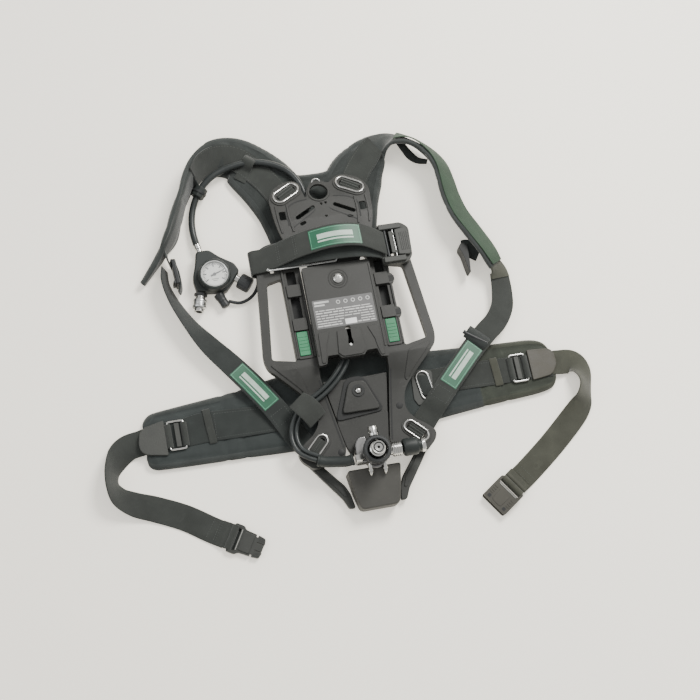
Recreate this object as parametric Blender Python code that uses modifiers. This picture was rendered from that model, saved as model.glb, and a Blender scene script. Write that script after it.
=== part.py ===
"""Carrier of a breathing apparatus: back plate, harness, pressure reducer and gauge line, lying flat.

Lengths in the lists below are millimetres. +Y runs up the plate towards the shoulders, +X to its right
as seen from above, and +Z up. The origin is under the middle of the hip pad, on the surface it lies on.
"""

import math

import bmesh
import bpy
from mathutils import Matrix, Vector

MM = 0.001
GAP = 0.4

# Driving dimensions of the plate.
RAIL_INNER = 60
RAIL_OUTER = 95
HANDLE_TOP_X = 136
HANDLE_LOW_X = 151
FRAME_TOP_Y = 278
CHANNEL_TOP_Y = 236
CHANNEL_LOW_Y = 88
CROSSBAR_LOW_Y = 60
LATCH_Y = 90
LATCH_SIZE = (19, 43)

# Heights along the plate, as (y, z) corners of its side view.
FRAME_OVER = [(-140, 32), (-70, 32), (5, 37), (48, 48), (320, 48)]
FRAME_UNDER = [(-140, 18), (-70, 18), (5, 25), (48, 32), (320, 32)]
PANEL_OVER = [(-140, 27), (-70, 27), (5, 32), (40, 34)]
PANEL_UNDER = [(-140, 19), (-70, 19), (5, 24), (40, 26)]
BOSS_OVER = [(-140, 34), (-70, 34), (5, 39), (40, 41)]
BOSS_UNDER = [(y, z + GAP) for y, z in PANEL_OVER]
YOKE_OVER = [(100, 55), (312, 55), (350, 48), (400, 34)]
YOKE_UNDER = [(100, 49.5), (312, 49.5), (350, 42.5), (400, 28)]
COVER_OVER = [(30, 62), (80, 64), (230, 64)]
COVER_UNDER = [(30, 50), (119, 50), (121, 55 + GAP), (230, 55 + GAP)]
BUMPER_OVER = [(-206, 33), (-138, 45)]
BUMPER_UNDER = [(-206, 5), (-138, 5)]

# Pieces placed once and used by others.
SLIDE_PIN = (0, 72)
BELT_PIVOT = (0, -4)
REDUCER = (4, -119)
REDUCER_BASE = 30
REDUCER_TOP = 76
OUTLET_Z = 60
GAUGE = (-206, 242)
GAUGE_RADIUS = 28.5
COUPLER_START = (-233.5, 218, 14)
COUPLER_WAY = (-0.26, -0.966, 0)
CAP_START = (-169.3, 235.9, 16)
CAP_WAY = (0.78, -0.626, 0)
BUCKLE_HINGE = (100, 240, 69)
HIP_PAD_HEIGHT = 14
WEBBING = 2.4
WAIST_WIDTH = 44
PULL_WIDTH = 40
WAIST_ADJUSTERS = {"left": (-314.5, -25), "right": (292, -5)}


def clear_scene():
    for obj in list(bpy.data.objects):
        bpy.data.objects.remove(obj, do_unlink=True)
    for name in ("breathing_apparatus", "cutters"):
        bpy.context.scene.collection.children.link(bpy.data.collections.new(name))


def finish(name, colour, roughness, metallic=0.0):
    material = bpy.data.materials.new(name)
    material.use_nodes = True
    shader = material.node_tree.nodes["Principled BSDF"]
    shader.inputs["Base Color"].default_value = (*colour, 1)
    shader.inputs["Roughness"].default_value = roughness
    shader.inputs["Metallic"].default_value = metallic
    return material


# ---------------------------------------------------------------- shapes


def level(y, knots):
    """Height at y along a side view given by its corners."""
    if y <= knots[0][0]:
        return knots[0][1]
    for (y0, z0), (y1, z1) in zip(knots, knots[1:]):
        if y <= y1:
            return z0 + (z1 - z0) * (y - y0) / (y1 - y0)
    return knots[-1][1]


def rounded(corners, radius, steps=3):
    """The outline with each corner eased into a curve; a corner's own third number replaces radius."""
    outline = []
    for index, corner in enumerate(corners):
        here = Vector(corner[:2])
        reach = corner[2] if len(corner) > 2 else radius
        if reach == 0:
            outline.append(tuple(here))
            continue
        before = Vector(corners[index - 1][:2]) - here
        after = Vector(corners[(index + 1) % len(corners)][:2]) - here
        start = here + before.normalized() * min(reach, before.length * 0.48)
        end = here + after.normalized() * min(reach, after.length * 0.48)
        for step in range(steps + 1):
            t = step / steps
            outline.append(tuple(start * (1 - t) ** 2 + here * 2 * t * (1 - t) + end * t * t))
    return outline


def both_sides(half):
    """A closed outline from its right half, listed from the top centre down to the bottom centre."""
    left = [(-corner[0], *corner[1:]) for corner in reversed(half) if corner[0] != 0]
    return half + left


def rectangle(x0, y0, x1, y1):
    return [(x0, y0), (x1, y0), (x1, y1), (x0, y1)]


def slot(centre, length, width, turn, steps=4):
    """A straight slot with round ends, its long axis turned by degrees from +X."""
    radius = width / 2
    points = []
    for end in (1, -1):
        for step in range(steps + 1):
            angle = math.pi * (step / steps - 0.5)
            x = end * (length / 2 - radius + radius * math.cos(angle))
            points.append((x, end * radius * math.sin(angle)))
    spin = Matrix.Rotation(math.radians(turn), 2)
    return [tuple(Vector(centre[:2]) + spin @ Vector(point)) for point in points]


def smooth(points, per_span):
    """A Catmull-Rom curve through the points, each a tuple of any length."""
    rows = [Vector(point) for point in points]
    rows = [rows[0] * 2 - rows[1], *rows, rows[-1] * 2 - rows[-2]]
    out = []
    for a, b, c, d in zip(rows, rows[1:], rows[2:], rows[3:]):
        for step in range(per_span):
            t = step / per_span
            out.append(
                (b * 2 + (c - a) * t + (a * 2 - b * 5 + c * 4 - d) * t**2 + (b * 3 - a - c * 3 + d) * t**3)
                / 2
            )
    out.append(rows[-2])
    return out


def emit(shape, name, material, origin=(0, 0, 0)):
    """Turns a bmesh in millimetres into an object whose origin is at the given point."""
    bmesh.ops.remove_doubles(shape, verts=shape.verts, dist=0.001)
    bmesh.ops.recalc_face_normals(shape, faces=shape.faces)
    bmesh.ops.translate(shape, verts=shape.verts, vec=-Vector(origin))
    bmesh.ops.scale(shape, verts=shape.verts, vec=(MM, MM, MM))
    mesh = bpy.data.meshes.new(name)
    shape.to_mesh(mesh)
    shape.free()
    return place(mesh, name, material, Matrix.Translation(Vector(origin) * MM))


def place(mesh, name, material, matrix):
    mesh.materials.clear()
    mesh.materials.append(material)
    mesh.shade_smooth()
    mesh.set_sharp_from_angle(angle=math.radians(35))
    obj = bpy.data.objects.new(name, mesh)
    obj.matrix_world = matrix
    bpy.data.collections["breathing_apparatus"].objects.link(obj)
    return obj


def mesh_of(curve):
    """The mesh that a curve makes, as a bmesh in millimetres."""
    guide = bpy.data.objects.new("guide", curve)
    bpy.context.scene.collection.objects.link(guide)
    graph = bpy.context.evaluated_depsgraph_get()
    mesh = bpy.data.meshes.new_from_object(guide.evaluated_get(graph))
    bpy.data.objects.remove(guide)
    shape = bmesh.new()
    shape.from_mesh(mesh)
    bpy.data.meshes.remove(mesh)
    bmesh.ops.scale(shape, verts=shape.verts, vec=(1 / MM, 1 / MM, 1 / MM))
    bmesh.ops.remove_doubles(shape, verts=shape.verts, dist=0.001)
    return shape


def slab(outline, low, high, holes=()):
    """A flat outline with its holes, filled between two heights."""
    curve = bpy.data.curves.new("outline", "CURVE")
    curve.dimensions = "2D"
    curve.fill_mode = "BOTH"
    curve.extrude = (high - low) / 2 * MM
    for loop in (outline, *holes):
        spline = curve.splines.new("POLY")
        spline.points.add(len(loop) - 1)
        spline.use_cyclic_u = True
        for point, corner in zip(spline.points, loop):
            point.co = (corner[0] * MM, corner[1] * MM, 0, 1)
    shape = mesh_of(curve)
    bmesh.ops.translate(shape, verts=shape.verts, vec=(0, 0, (high + low) / 2))
    return shape


def flat(name, material, outline, low, high, holes=(), origin=(0, 0, 0)):
    return emit(slab(outline, low, high, holes), name, material, origin)


def contoured(name, material, outline, over, under, holes=()):
    """A flat outline whose two faces follow the side views over and under."""
    shape = slab(outline, 0, 1, holes)
    for y in sorted({knot[0] for knot in over + under}):
        geometry = [*shape.verts, *shape.edges, *shape.faces]
        bmesh.ops.bisect_plane(shape, geom=geometry, plane_co=(0, y, 0), plane_no=(0, 1, 0))
    for vertex in shape.verts:
        vertex.co.z = level(vertex.co.y, over if vertex.co.z > 0.5 else under)
    return emit(shape, name, material)


def block(name, material, centre, size, turn=0, bevel=0, origin=(0, 0, 0)):
    shape = bmesh.new()
    bmesh.ops.create_cube(shape, size=1)
    bmesh.ops.scale(shape, verts=shape.verts, vec=size)
    if bevel:
        bmesh.ops.bevel(shape, geom=shape.edges[:], offset=bevel, segments=1, affect="EDGES")
    bmesh.ops.rotate(shape, verts=shape.verts, matrix=Matrix.Rotation(math.radians(turn), 3, "Z"))
    bmesh.ops.translate(shape, verts=shape.verts, vec=centre)
    return emit(shape, name, material, origin)


def turned(name, material, profile, at, way=(0, 0, 1), steps=20, ring=False):
    """A profile of (radius, distance along way) points, listed from the far end down, turned about way."""
    edges = [(index, index + 1) for index in range(len(profile) - 1)]
    if ring:
        edges.append((len(profile) - 1, 0))
    mesh = bpy.data.meshes.new(name)
    mesh.from_pydata([(radius * MM, 0, height * MM) for radius, height in profile], edges, [])
    spin = Vector(way).to_track_quat("Z", "Y").to_matrix().to_4x4()
    obj = place(mesh, name, material, Matrix.Translation(Vector(at) * MM) @ spin)
    screw = obj.modifiers.new("turn", "SCREW")
    screw.steps = steps
    screw.render_steps = steps
    screw.use_merge_vertices = True
    screw.merge_threshold = 0.00001
    return obj


def rod(name, material, start, way, length, radius, steps=20):
    return turned(name, material, [(0, length), (radius, length), (radius, 0), (0, 0)], start, way, steps)


def tube(name, material, route, radius, per_span=2, sides=2, closed=False):
    """A round wire or hose along a route of points."""
    curve = bpy.data.curves.new(name, "CURVE")
    curve.dimensions = "3D"
    curve.bevel_depth = radius * MM
    curve.bevel_resolution = sides
    curve.use_fill_caps = True
    points = route if closed else smooth(route, per_span)
    spline = curve.splines.new("POLY")
    spline.points.add(len(points) - 1)
    spline.use_cyclic_u = closed
    for point, place_ in zip(spline.points, points):
        point.co = (*(Vector(place_) * MM), 1)
    return emit(mesh_of(curve), name, material)


def band(name, material, stations, thickness, per_span=3, chamfer=0.0, across=None):
    """A strap or pad lofted through stations of (x, y, z, width, roll); roll lifts its right-hand edge.

    A section that would dip below the ground is raised onto it.
    """
    rows = smooth(stations, per_span)
    shape = bmesh.new()
    rings = []
    for index, row in enumerate(rows):
        ahead = Vector(rows[min(index + 1, len(rows) - 1)][:3])
        behind = Vector(rows[max(index - 1, 0)][:3])
        along = (ahead - behind).normalized()
        side = Vector(across) if across else along.cross(Vector((0, 0, 1)))
        side = (side - along * side.dot(along)).normalized()
        side = Matrix.Rotation(math.radians(-row[4]), 3, along) @ side
        normal = side.cross(along)
        centre = Vector(row[:3])
        half = row[3] / 2
        rise = thickness / 2
        corners = [(-half, -rise), (half, -rise), (half, rise), (-half, rise)]
        if chamfer:
            corners = rounded(corners, chamfer, 1)
        ring = [centre + side * u + normal * v for u, v in corners]
        lift = Vector((0, 0, max(0.2 - min(point.z for point in ring), 0)))
        rings.append([shape.verts.new(point + lift) for point in ring])
    for lower, upper in zip(rings, rings[1:]):
        for index in range(len(lower)):
            nxt = (index + 1) % len(lower)
            shape.faces.new((lower[index], lower[nxt], upper[nxt], upper[index]))
    shape.faces.new(rings[0])
    shape.faces.new(rings[-1])
    return emit(shape, name, material)


def cut(obj, cutter):
    """Takes the cutter's solid out of the object."""
    cutter.hide_render = True
    cutter.display_type = "WIRE"
    for collection in list(cutter.users_collection):
        collection.objects.unlink(cutter)
    bpy.data.collections["cutters"].objects.link(cutter)
    modifier = obj.modifiers.new("cut", "BOOLEAN")
    modifier.object = cutter
    modifier.operation = "DIFFERENCE"


# ---------------------------------------------------------------- back plate


def lower_frame(plastic):
    half = [
        (0, FRAME_TOP_Y, 0),
        (112, FRAME_TOP_Y, 14),
        (HANDLE_TOP_X, 262, 12),
        (HANDLE_TOP_X, 222, 0),
        (HANDLE_LOW_X, 74, 10),
        (147, 55, 10),
        (98, 7, 20),
        (80, -14, 14),
        (74, -46, 16),
        (90, -68, 12),
        (106, -78, 8),
        (121, -93, 9),
        (117, -108, 9),
        (98, -125, 8),
        (84, -123, 6),
        (44, -116, 6),
        (38, -98, 6),
        (RAIL_INNER, 26, 0),
        (RAIL_INNER, CROSSBAR_LOW_Y, 6),
        (0, CROSSBAR_LOW_Y, 0),
    ]
    channel = [
        (-RAIL_INNER, CHANNEL_LOW_Y),
        (RAIL_INNER, CHANNEL_LOW_Y),
        (RAIL_INNER, CHANNEL_TOP_Y),
        (-RAIL_INNER, CHANNEL_TOP_Y),
    ]
    holes = [rounded(channel, 6, 2)]
    grip = [(RAIL_OUTER, 212), (121, 206), (136.5, 69), (RAIL_OUTER, 60.5)]
    strap_slot = rectangle(104, 224, 112, 271)
    windows = [rectangle(70, 197, 86, 222), rectangle(70, 136, 86, 174), rectangle(68, 68, 88, 112)]
    for side in (1, -1):
        for corners, radius in ((grip, 5), (strap_slot, 2), *((window, 2) for window in windows)):
            holes.append(rounded([(side * x, y) for x, y in corners], radius, 2))
        holes.append(slot((side * 86, -88), 36, 10, -45 * side))
    contoured("lower_frame", plastic, rounded(both_sides(half), 8), FRAME_OVER, FRAME_UNDER, holes)


def lumbar_panel(plastic, dark):
    half = [(0, 20, 0), (57, 22, 3), (36, -98, 4), (30, -113, 6), (0, -113, 0)]
    contoured("lumbar_panel", plastic, rounded(both_sides(half), 4), PANEL_OVER, PANEL_UNDER)
    boss = both_sides([(14, 14), (35, -42)])
    contoured("pivot_cover", dark, rounded(boss, 9), BOSS_OVER, BOSS_UNDER)


def fasteners(chrome, steel):
    top = level(BELT_PIVOT[1], BOSS_OVER) + GAP
    dome = [(0, 3.4), (3.2, 3.0), (5.6, 1.6), (6.2, 0), (0, 0)]
    turned("pivot_screw", chrome, dome, (*BELT_PIVOT, top), steps=16)
    bolt = [(0, 3.6), (5, 3.2), (8, 1.6), (8.8, 0), (0, 0)]
    turned("cover_bolt", chrome, bolt, (0, 192, 64 + GAP), steps=16)
    rod("slide_pin", steel, (*SLIDE_PIN, 48 + GAP), (0, 0, 1), 12, 3, 12)


def yoke(plastic):
    lobe = [(36, 393, 8), (50, 396, 10), (76, 386, 13), (91, 364, 12)]
    leg = [(87, 306, 20), (74, 262, 20), (60, 240, 10), (46, 226, 6), (46, 124, 4)]
    right = [(9, 389, 5), (20, 380, 6), (28, 386, 5), *lobe, *leg]
    hose_notch = [(9, 389, 4), (15, 380, 3), (22, 368, 3), (22.5, 357, 1.5), (26, 356, 1.5), (29, 374, 4)]
    left = [*hose_notch, *lobe, *leg]
    outline = right + [(-x, y, radius) for x, y, radius in reversed(left)]
    holes = [slot((0, 364), 32.2, 32, 0, 8)]
    for side in (1, -1):
        holes.append(slot((side * 58, 370), 38, 11, -30 * side))
        holes.append(slot((side * 36.5, 325.5), 44, 8, -32 * side, 2))
        holes.append(rounded([(side * x, y) for x, y in rectangle(66, 316, 78, 333)], 2, 1))
    contoured("yoke_plate", plastic, rounded(outline, 8), YOKE_OVER, YOKE_UNDER, holes)


def back_cover(plastic):
    half = [
        (0, 220, 0),
        (60, 220, 6),
        (61, 42, 4),
        (47, 44, 2),
        (43, 58, 2),
        (25, 58, 2),
        (20, 51, 3),
        (0, 51, 0),
    ]
    keyhole = rounded(rectangle(-4.5, 66, 4.5, 106), 4, 2)
    contoured("back_cover", plastic, rounded(both_sides(half), 4), COVER_OVER, COVER_UNDER, [keyhole])


def ring_route(centre, length, width, turn, knots, radius):
    """A flat oval of wire that lies on the plate's contour."""
    return [(x, y, level(y, knots) + radius + 0.6) for x, y in slot(centre, length, width, turn, 6)]


def rings(chrome):
    wire = 1.8
    for name, side in (("left", -1), ("right", 1)):
        upper = ring_route((side * 58, 370), 50, 23, -30 * side, YOKE_OVER, wire)
        tube(f"upper_ring_{name}", chrome, upper, wire, sides=1, closed=True)
        lower = ring_route((side * 86, -88), 46, 20, -45 * side, FRAME_OVER, wire)
        tube(f"lower_ring_{name}", chrome, lower, wire, sides=1, closed=True)


def latches(green):
    for name, side in (("left", -1), ("right", 1)):
        centre = (side * 78, LATCH_Y, 43.5)
        block(f"latch_{name}", green, centre, (*LATCH_SIZE, 13), bevel=0.8, origin=centre)


def guard(rubber):
    bar = [(118, -97), (103, -92), (50, -158), (43, -174), (39, -198), (50, -198), (58, -180), (85, -143)]
    for name, side in (("left", -1), ("right", 1)):
        corners = [(side * x, y) for x, y in bar]
        flat(f"guard_bar_{name}", rubber, rounded(corners, 4), 5, 14.6)
    half = [(46, -139, 5), (40, -178, 4), (33, -206, 8)]
    contoured("bumper", rubber, rounded(both_sides(half), 5), BUMPER_OVER, BUMPER_UNDER)


# ---------------------------------------------------------------- pressure reducer and hoses


def reducer(body, chrome, black):
    x, y = REDUCER
    height = REDUCER_TOP - REDUCER_BASE
    profile = [(0, height), (15.5, height), (16, height - 8), (20, height - 12), (20, 2), (18, 0), (0, 0)]
    turned("reducer_body", body, profile, (x, y, REDUCER_BASE), steps=24)
    spigot = [(0, 26), (9.6, 26), (11.4, 24.6), (11.4, 15), (13, 14), (15, 8), (16, 0), (0, 0)]
    turned("inlet_spigot", chrome, spigot, (x, y, REDUCER_TOP + GAP), steps=24)
    wheel = [(19, 13.5), (22, 13), (23.8, 10), (23.8, 3), (22, 0), (17.2, 0), (17.2, 12)]
    turned("hand_wheel", black, wheel, (x, y, REDUCER_TOP + 1.2), steps=24, ring=True)
    plug = [(0, 24), (7, 24), (8.2, 22), (8.2, 8), (6, 7), (6, 0), (0, 0)]
    turned("reducer_top_plug", chrome, plug, (x + 3, y + 20.3, OUTLET_Z), (0, 1, 0), 16)
    fitting = [(0, 27), (8, 27), (11.5, 24), (11.5, 8), (9, 7), (9, 0), (0, 0)]
    turned("outlet_fitting", chrome, fitting, (x + 20.4, y, OUTLET_Z), (1, 0, 0), 16)
    sleeve = [(0, 33), (10, 33), (11, 26), (14.6, 24), (15, 4), (13, 0), (0, 0)]
    turned("alarm_sleeve", black, sleeve, (x + 48, y, OUTLET_Z), (1, 0, 0), 20)
    nut = [(0, 14), (9.6, 14), (9.6, 3), (8, 0), (0, 0)]
    turned("hose_nut", chrome, nut, (x - 20.2, y - 4, 54), (-1, 0, 0), 16)


def lower_hoses(rubber):
    boot = [(-33, -123, 53.6), (-46, -124, 51), (-62, -121, 47), (-78, -118, 44.5), (-92, -113, 43)]
    tube("hose_boot", rubber, boot, 9.3, 2, 2)
    hose = [
        (-93, -112.6, 43),
        (-108, -104, 41),
        (-120, -92, 38),
        (-126, -74, 35),
        (-125, -54, 33),
        (-117, -35, 35),
        (-104, -19, 39),
        (-90, -9, 42),
        (-74, -1, 43),
        (-58, 9, 43.2),
        (-43, 21, 43.2),
        (-30, 34, 42.6),
        (-20, 47, 42),
        (-15, 56, 41.5),
    ]
    tube("medium_pressure_hose", rubber, hose, 4.1, 2, 2)
    flap = [(-112, -14), (-84, 4), (-70, -36), (-98, -52)]
    flat("hose_flap", rubber, rounded(flap, 4, 2), 48, 50.4)


# ---------------------------------------------------------------- cylinder strap


def cylinder_strap(webbing, chrome, black):
    wrap = [
        (-114, 247, 29, 43, 0),
        (-136, 247, 29, 43, 0),
        (-142, 247, 34, 43, 0),
        (-143, 247, 46, 43, 0),
        (-138, 247, 52, 43, 0),
        (-118, 248, 53.5, 43, 0),
        (-92, 252, 63, 43, 0),
        (-52, 257, 83, 43, 0),
        (0, 261, 93, 43, 0),
        (45, 258, 90, 43, 0),
        (76, 248, 78, 43, 0),
        (93, 241, 69.5, 43, 0),
    ]
    band("cylinder_strap", webbing, wrap, 3, 3, across=(0, 1, 0))
    wire = [(-115, 229, 62), (-113, 226, 58.6), (-60, 226, 58), (-4, 226, 58), (4, 227, 58.6), (6, 230, 62)]
    tube("strap_guide_wire", chrome, wire, 1.7, 3, 1)
    frame = [(84, 276, 4), (128, 279, 6), (141, 267, 6), (138, 213, 8), (126, 203, 6), (84, 205, 4)]
    window = rounded(rectangle(93, 217, 123, 265), 2, 1)
    flat("strap_buckle_frame", black, rounded(frame, 5), 55, 65, [window])
    lever = rounded(rectangle(103.4, 213, 137, 268), 5)
    flat("strap_buckle_lever", black, lever, 66, 72, origin=BUCKLE_HINGE)


# ---------------------------------------------------------------- shoulder harness


def shoulder_pads(fabric):
    left = [
        (-48, 285, 8, 92, 0),
        (-53, 325, 8, 104, 0),
        (-62, 365, 8, 112, 0),
        (-80, 402, 8, 112, 0),
        (-106, 436, 8, 104, 0),
        (-132, 461, 8.5, 88, 3),
        (-164, 466, 13, 72, 20),
        (-195, 455, 22, 60, 46),
        (-219, 429, 28, 58, 68),
        (-237, 395, 30.5, 60, 80),
        (-254, 357, 30.5, 60, 79),
        (-269, 323, 29, 56, 77),
        (-290, 296, 22, 38, 82),
        (-312, 272, 16, 24, 86),
        (-331, 253, 11, 16, 88),
    ]
    band("shoulder_pad_left", fabric, left, 13, 2, chamfer=4)
    right = [
        (49, 285, 8, 92, 0),
        (54, 325, 8, 104, 0),
        (62, 365, 8, 112, 0),
        (80, 400, 8, 106, 0),
        (100, 425, 9, 88, 4),
        (124, 446, 14, 68, 18),
        (152, 454, 24, 56, 44),
        (184, 443, 33, 53, 62),
        (212, 418, 33.5, 54, 57),
        (228, 390, 33, 56, 50),
        (233, 360, 32, 57, 46),
        (236, 328, 31, 58, 43),
        (244, 293, 30.5, 60, 42),
        (261, 256, 30, 60, 42),
        (280, 218, 27.5, 56, 42),
        (293, 188, 21.5, 40, 36),
    ]
    band("shoulder_pad_right", fabric, right, 13, 2, chamfer=4)


def pull_straps(webbing, black):
    left = [
        (-289, 268, 23, PULL_WIDTH, 76),
        (-291, 243, 22, PULL_WIDTH, 68),
        (-281, 206, 21, PULL_WIDTH, 58),
        (-261, 163, 21, PULL_WIDTH, 46),
        (-235, 121, 22, PULL_WIDTH, 22),
        (-206, 82, 24, PULL_WIDTH, 8),
        (-176, 40, 26, PULL_WIDTH, 0),
        (-148, -2, 24, PULL_WIDTH, 0),
        (-131, -32, 20, PULL_WIDTH, 0),
        (-119, -55, 16.4, PULL_WIDTH, 0),
        (-105, -78, 16.1, PULL_WIDTH, 0),
    ]
    band("pull_strap_left", webbing, left, 2, 2)
    right = [
        (298, 172, 15, PULL_WIDTH, 20),
        (296, 142, 14, PULL_WIDTH, 12),
        (289, 112, 16, PULL_WIDTH, 4),
        (271, 86, 20, PULL_WIDTH, 0),
        (246, 66, 24, PULL_WIDTH, 0),
        (220, 44, 26, PULL_WIDTH, 0),
        (190, 15, 26.5, PULL_WIDTH, 0),
        (160, -15, 26, PULL_WIDTH, 0),
        (137, -39, 23, PULL_WIDTH, 0),
        (119, -58, 17, PULL_WIDTH, 0),
        (103, -76, 16.1, PULL_WIDTH, 0),
    ]
    band("pull_strap_right", webbing, right, 2, 2)
    block("shoulder_adjuster_left", black, (-271, 257, 22), (11, 70, 36), turn=4, bevel=2)
    block("shoulder_adjuster_right", black, (240, 208, 20), (12, 64, 34), turn=-8, bevel=2)


# ---------------------------------------------------------------- gauge line


def gauge_line(rubber, chrome, black, clear, white, orange):
    hose = [
        (-21, 344, 21),
        (-21.5, 361, 21.5),
        (-23, 379, 22),
        (-29, 399, 22),
        (-42, 419, 21.6),
        (-62, 434, 21.6),
        (-86, 443.5, 21.6),
        (-110, 447, 21.6),
        (-134, 445, 21.6),
        (-158, 439, 21.4),
        (-180, 429, 20.6),
        (-199, 414, 17.5),
        (-213, 395, 14.5),
        (-223, 373, 11.5),
        (-228, 350, 10),
        (-228.5, 328, 10.4),
        (-226.6, 309.4, 12.6),
    ]
    tube("gauge_hose", rubber, hose, 6, 2, 2)
    ferrule = [(0, 15), (5, 15), (5, 9), (6.2, 8), (6.2, 0), (0, 0)]
    turned("hose_ferrule", chrome, ferrule, (-226.2, 307.9, 13), (0.22, -0.97, 0.06), 14)
    body = [
        (-231, 292),
        (-208, 293),
        (-192, 278),
        (-168, 262),
        (-161, 247),
        (-178.5, 225.5),
        (-190, 213),
        (-240, 219),
        (-244, 244),
        (-236, 268),
    ]
    flat("gauge_block", black, rounded(body, 5, 2), 3, 25)
    x, y = GAUGE
    r = GAUGE_RADIUS
    case = [(0, 9), (23.4, 9), (23.4, 14.6), (26.5, 15), (r, 12), (r, 0), (0, 0)]
    turned("gauge_case", black, case, (x, y, 25 + GAP), steps=28)
    rod("gauge_dial", white, (x, y, 35), (0, 0, 1), 0.8, 22.8, 28)
    needle = [(-6, -1.3), (-6, 1.3), (18, 0.5), (18, -0.5)]
    spin = Matrix.Rotation(math.radians(20), 2)
    points = [tuple(Vector(GAUGE) + spin @ Vector(point)) for point in needle]
    flat("gauge_needle", orange, points, 36.3, 37, origin=(x, y, 36.5))
    rod("gauge_lens", clear, (x, y, 37.4), (0, 0, 1), 1.6, 22.8, 28)


def gauge_fittings(rubber, chrome, black):
    socket = [(0, 16), (6, 16), (6, 34), (8.8, 34), (8.8, 2), (7.4, 0), (0, 0)]
    turned("coupler_body", chrome, socket, COUPLER_START, COUPLER_WAY, 16)
    sleeve = [(11.4, 28), (12.4, 26), (12.4, 14), (11.4, 12), (9.2, 12), (9.2, 28)]
    turned("coupler_sleeve", chrome, sleeve, COUPLER_START, COUPLER_WAY, 20, ring=True)
    neck = [(0, 24), (7.2, 24), (7.2, 0), (0, 0)]
    turned("capped_neck", chrome, neck, CAP_START, CAP_WAY, 16)
    cap = [(0, 29.5), (12.6, 29.5), (14, 27.5), (14, 7.5), (7.7, 7.5), (7.7, 25), (0, 25)]
    turned("coupler_cap", black, cap, CAP_START, CAP_WAY, 20)
    tether = [(-131, 230, 15), (-133, 218, 13), (-141, 205, 11), (-153, 196, 9), (-170, 193, 7), (-186, 198, 8)]
    tube("cap_tether", rubber, tether, 2.6, 2, 1)
    whistle = [(0, 24), (5.5, 24), (7.6, 22), (7.6, 6), (9, 4), (9, 0), (0, 0)]
    turned("alarm_whistle", black, whistle, (-202.4, 209.4, 12.5), (0.39, -0.92, 0), 16)


def hose_clip(rubber):
    centre = Vector((-206, 404.5, 16))
    clip = block("hose_clip", rubber, centre, (24, 19, 20), turn=54, bevel=2)
    way = Vector((-14, -19, -3)).normalized()
    bore = rod("clip_bore", rubber, centre - way * 30, way, 60, 8, 12)
    cut(clip, bore)


# ---------------------------------------------------------------- hip belt


def hip_belt(fabric, webbing, leather):
    outline = [
        (-350, 23, 18),
        (-204, 39, 0),
        (-110, 56, 0),
        (0, 64, 0),
        (130, 57, 0),
        (250, 50, 0),
        (325, 47, 14),
        (350, 38, 12),
        (359, -20, 14),
        (357, -42, 14),
        (338, -55, 14),
        (250, -61, 0),
        (136, -72, 0),
        (0, -92, 0),
        (-134, -86, 0),
        (-330, -81, 0),
        (-362, -77, 16),
        (-371, -58, 14),
        (-368, 8, 14),
    ]
    flat("hip_pad", fabric, rounded(outline, 10), 0, HIP_PAD_HEIGHT)
    left_tab = [(-333, 6, 3), (-333, -57, 3), (-360, -53, 14), (-377, -36, 14), (-377, -6, 14), (-356, 6, 10)]
    flat("waist_tab_left", leather, rounded(left_tab, 8), 15, 18.4)
    right_tab = [(313, 27, 3), (352, 24, 10), (366, 10, 8), (366, -22, 8), (352, -34, 10), (313, -33, 3)]
    flat("waist_tab_right", leather, rounded(right_tab, 8), 15, 18.4)
    left = [
        (-374, -27, 9.5, WAIST_WIDTH, 0),
        (-398, -31, 7, WAIST_WIDTH, 6),
        (-416, -45, 11, WAIST_WIDTH, 30),
        (-429, -67, 19, WAIST_WIDTH, 58),
        (-432, -92, 20.5, WAIST_WIDTH, 62),
        (-423, -113, 14, WAIST_WIDTH, 38),
        (-400, -128, 6.5, WAIST_WIDTH, 14),
        (-368, -141, 2.6, WAIST_WIDTH, 3),
        (-323, -163, 1.6, WAIST_WIDTH, 0),
        (-282, -191, 2, WAIST_WIDTH, 0),
        (-260, -205, 4, WAIST_WIDTH, 0),
    ]
    band("waist_webbing_left", webbing, left, WEBBING, 2)
    right = [
        (363, -4, 9.6, WAIST_WIDTH, 0),
        (390, -7, 8, WAIST_WIDTH, 0),
        (403, -22, 12, WAIST_WIDTH, 22),
        (405, -47, 17.5, WAIST_WIDTH, 48),
        (399, -69, 17, WAIST_WIDTH, 46),
        (388, -88, 11, WAIST_WIDTH, 22),
        (366, -110, 5, WAIST_WIDTH, 4),
        (322, -147, 1.6, WAIST_WIDTH, 0),
        (272, -184, 1.8, WAIST_WIDTH, 0),
        (243, -203, 3.4, WAIST_WIDTH, 0),
    ]
    band("waist_webbing_right", webbing, right, WEBBING, 2)


def waist_adjusters(steel):
    """A bent wire rectangle that tilts about its end nearest the wearer's back."""
    for name, (x, y) in WAIST_ADJUSTERS.items():
        corners = rounded(rectangle(x - 13.5, y - 24, x + 13.5, y + 24), 4, 2)
        route = [(*corner, 17.6) for corner in corners]
        tube(f"waist_adjuster_{name}", steel, route, 1.8, sides=1, closed=True)


def buckle_frame(centre, way):
    """Turns (along, across) millimetres in a buckle's own plane into x and y."""
    along = Vector(way).normalized()
    across = Vector((-along.y, along.x))
    return lambda u, v: tuple(Vector(centre) + along * u + across * v)


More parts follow.
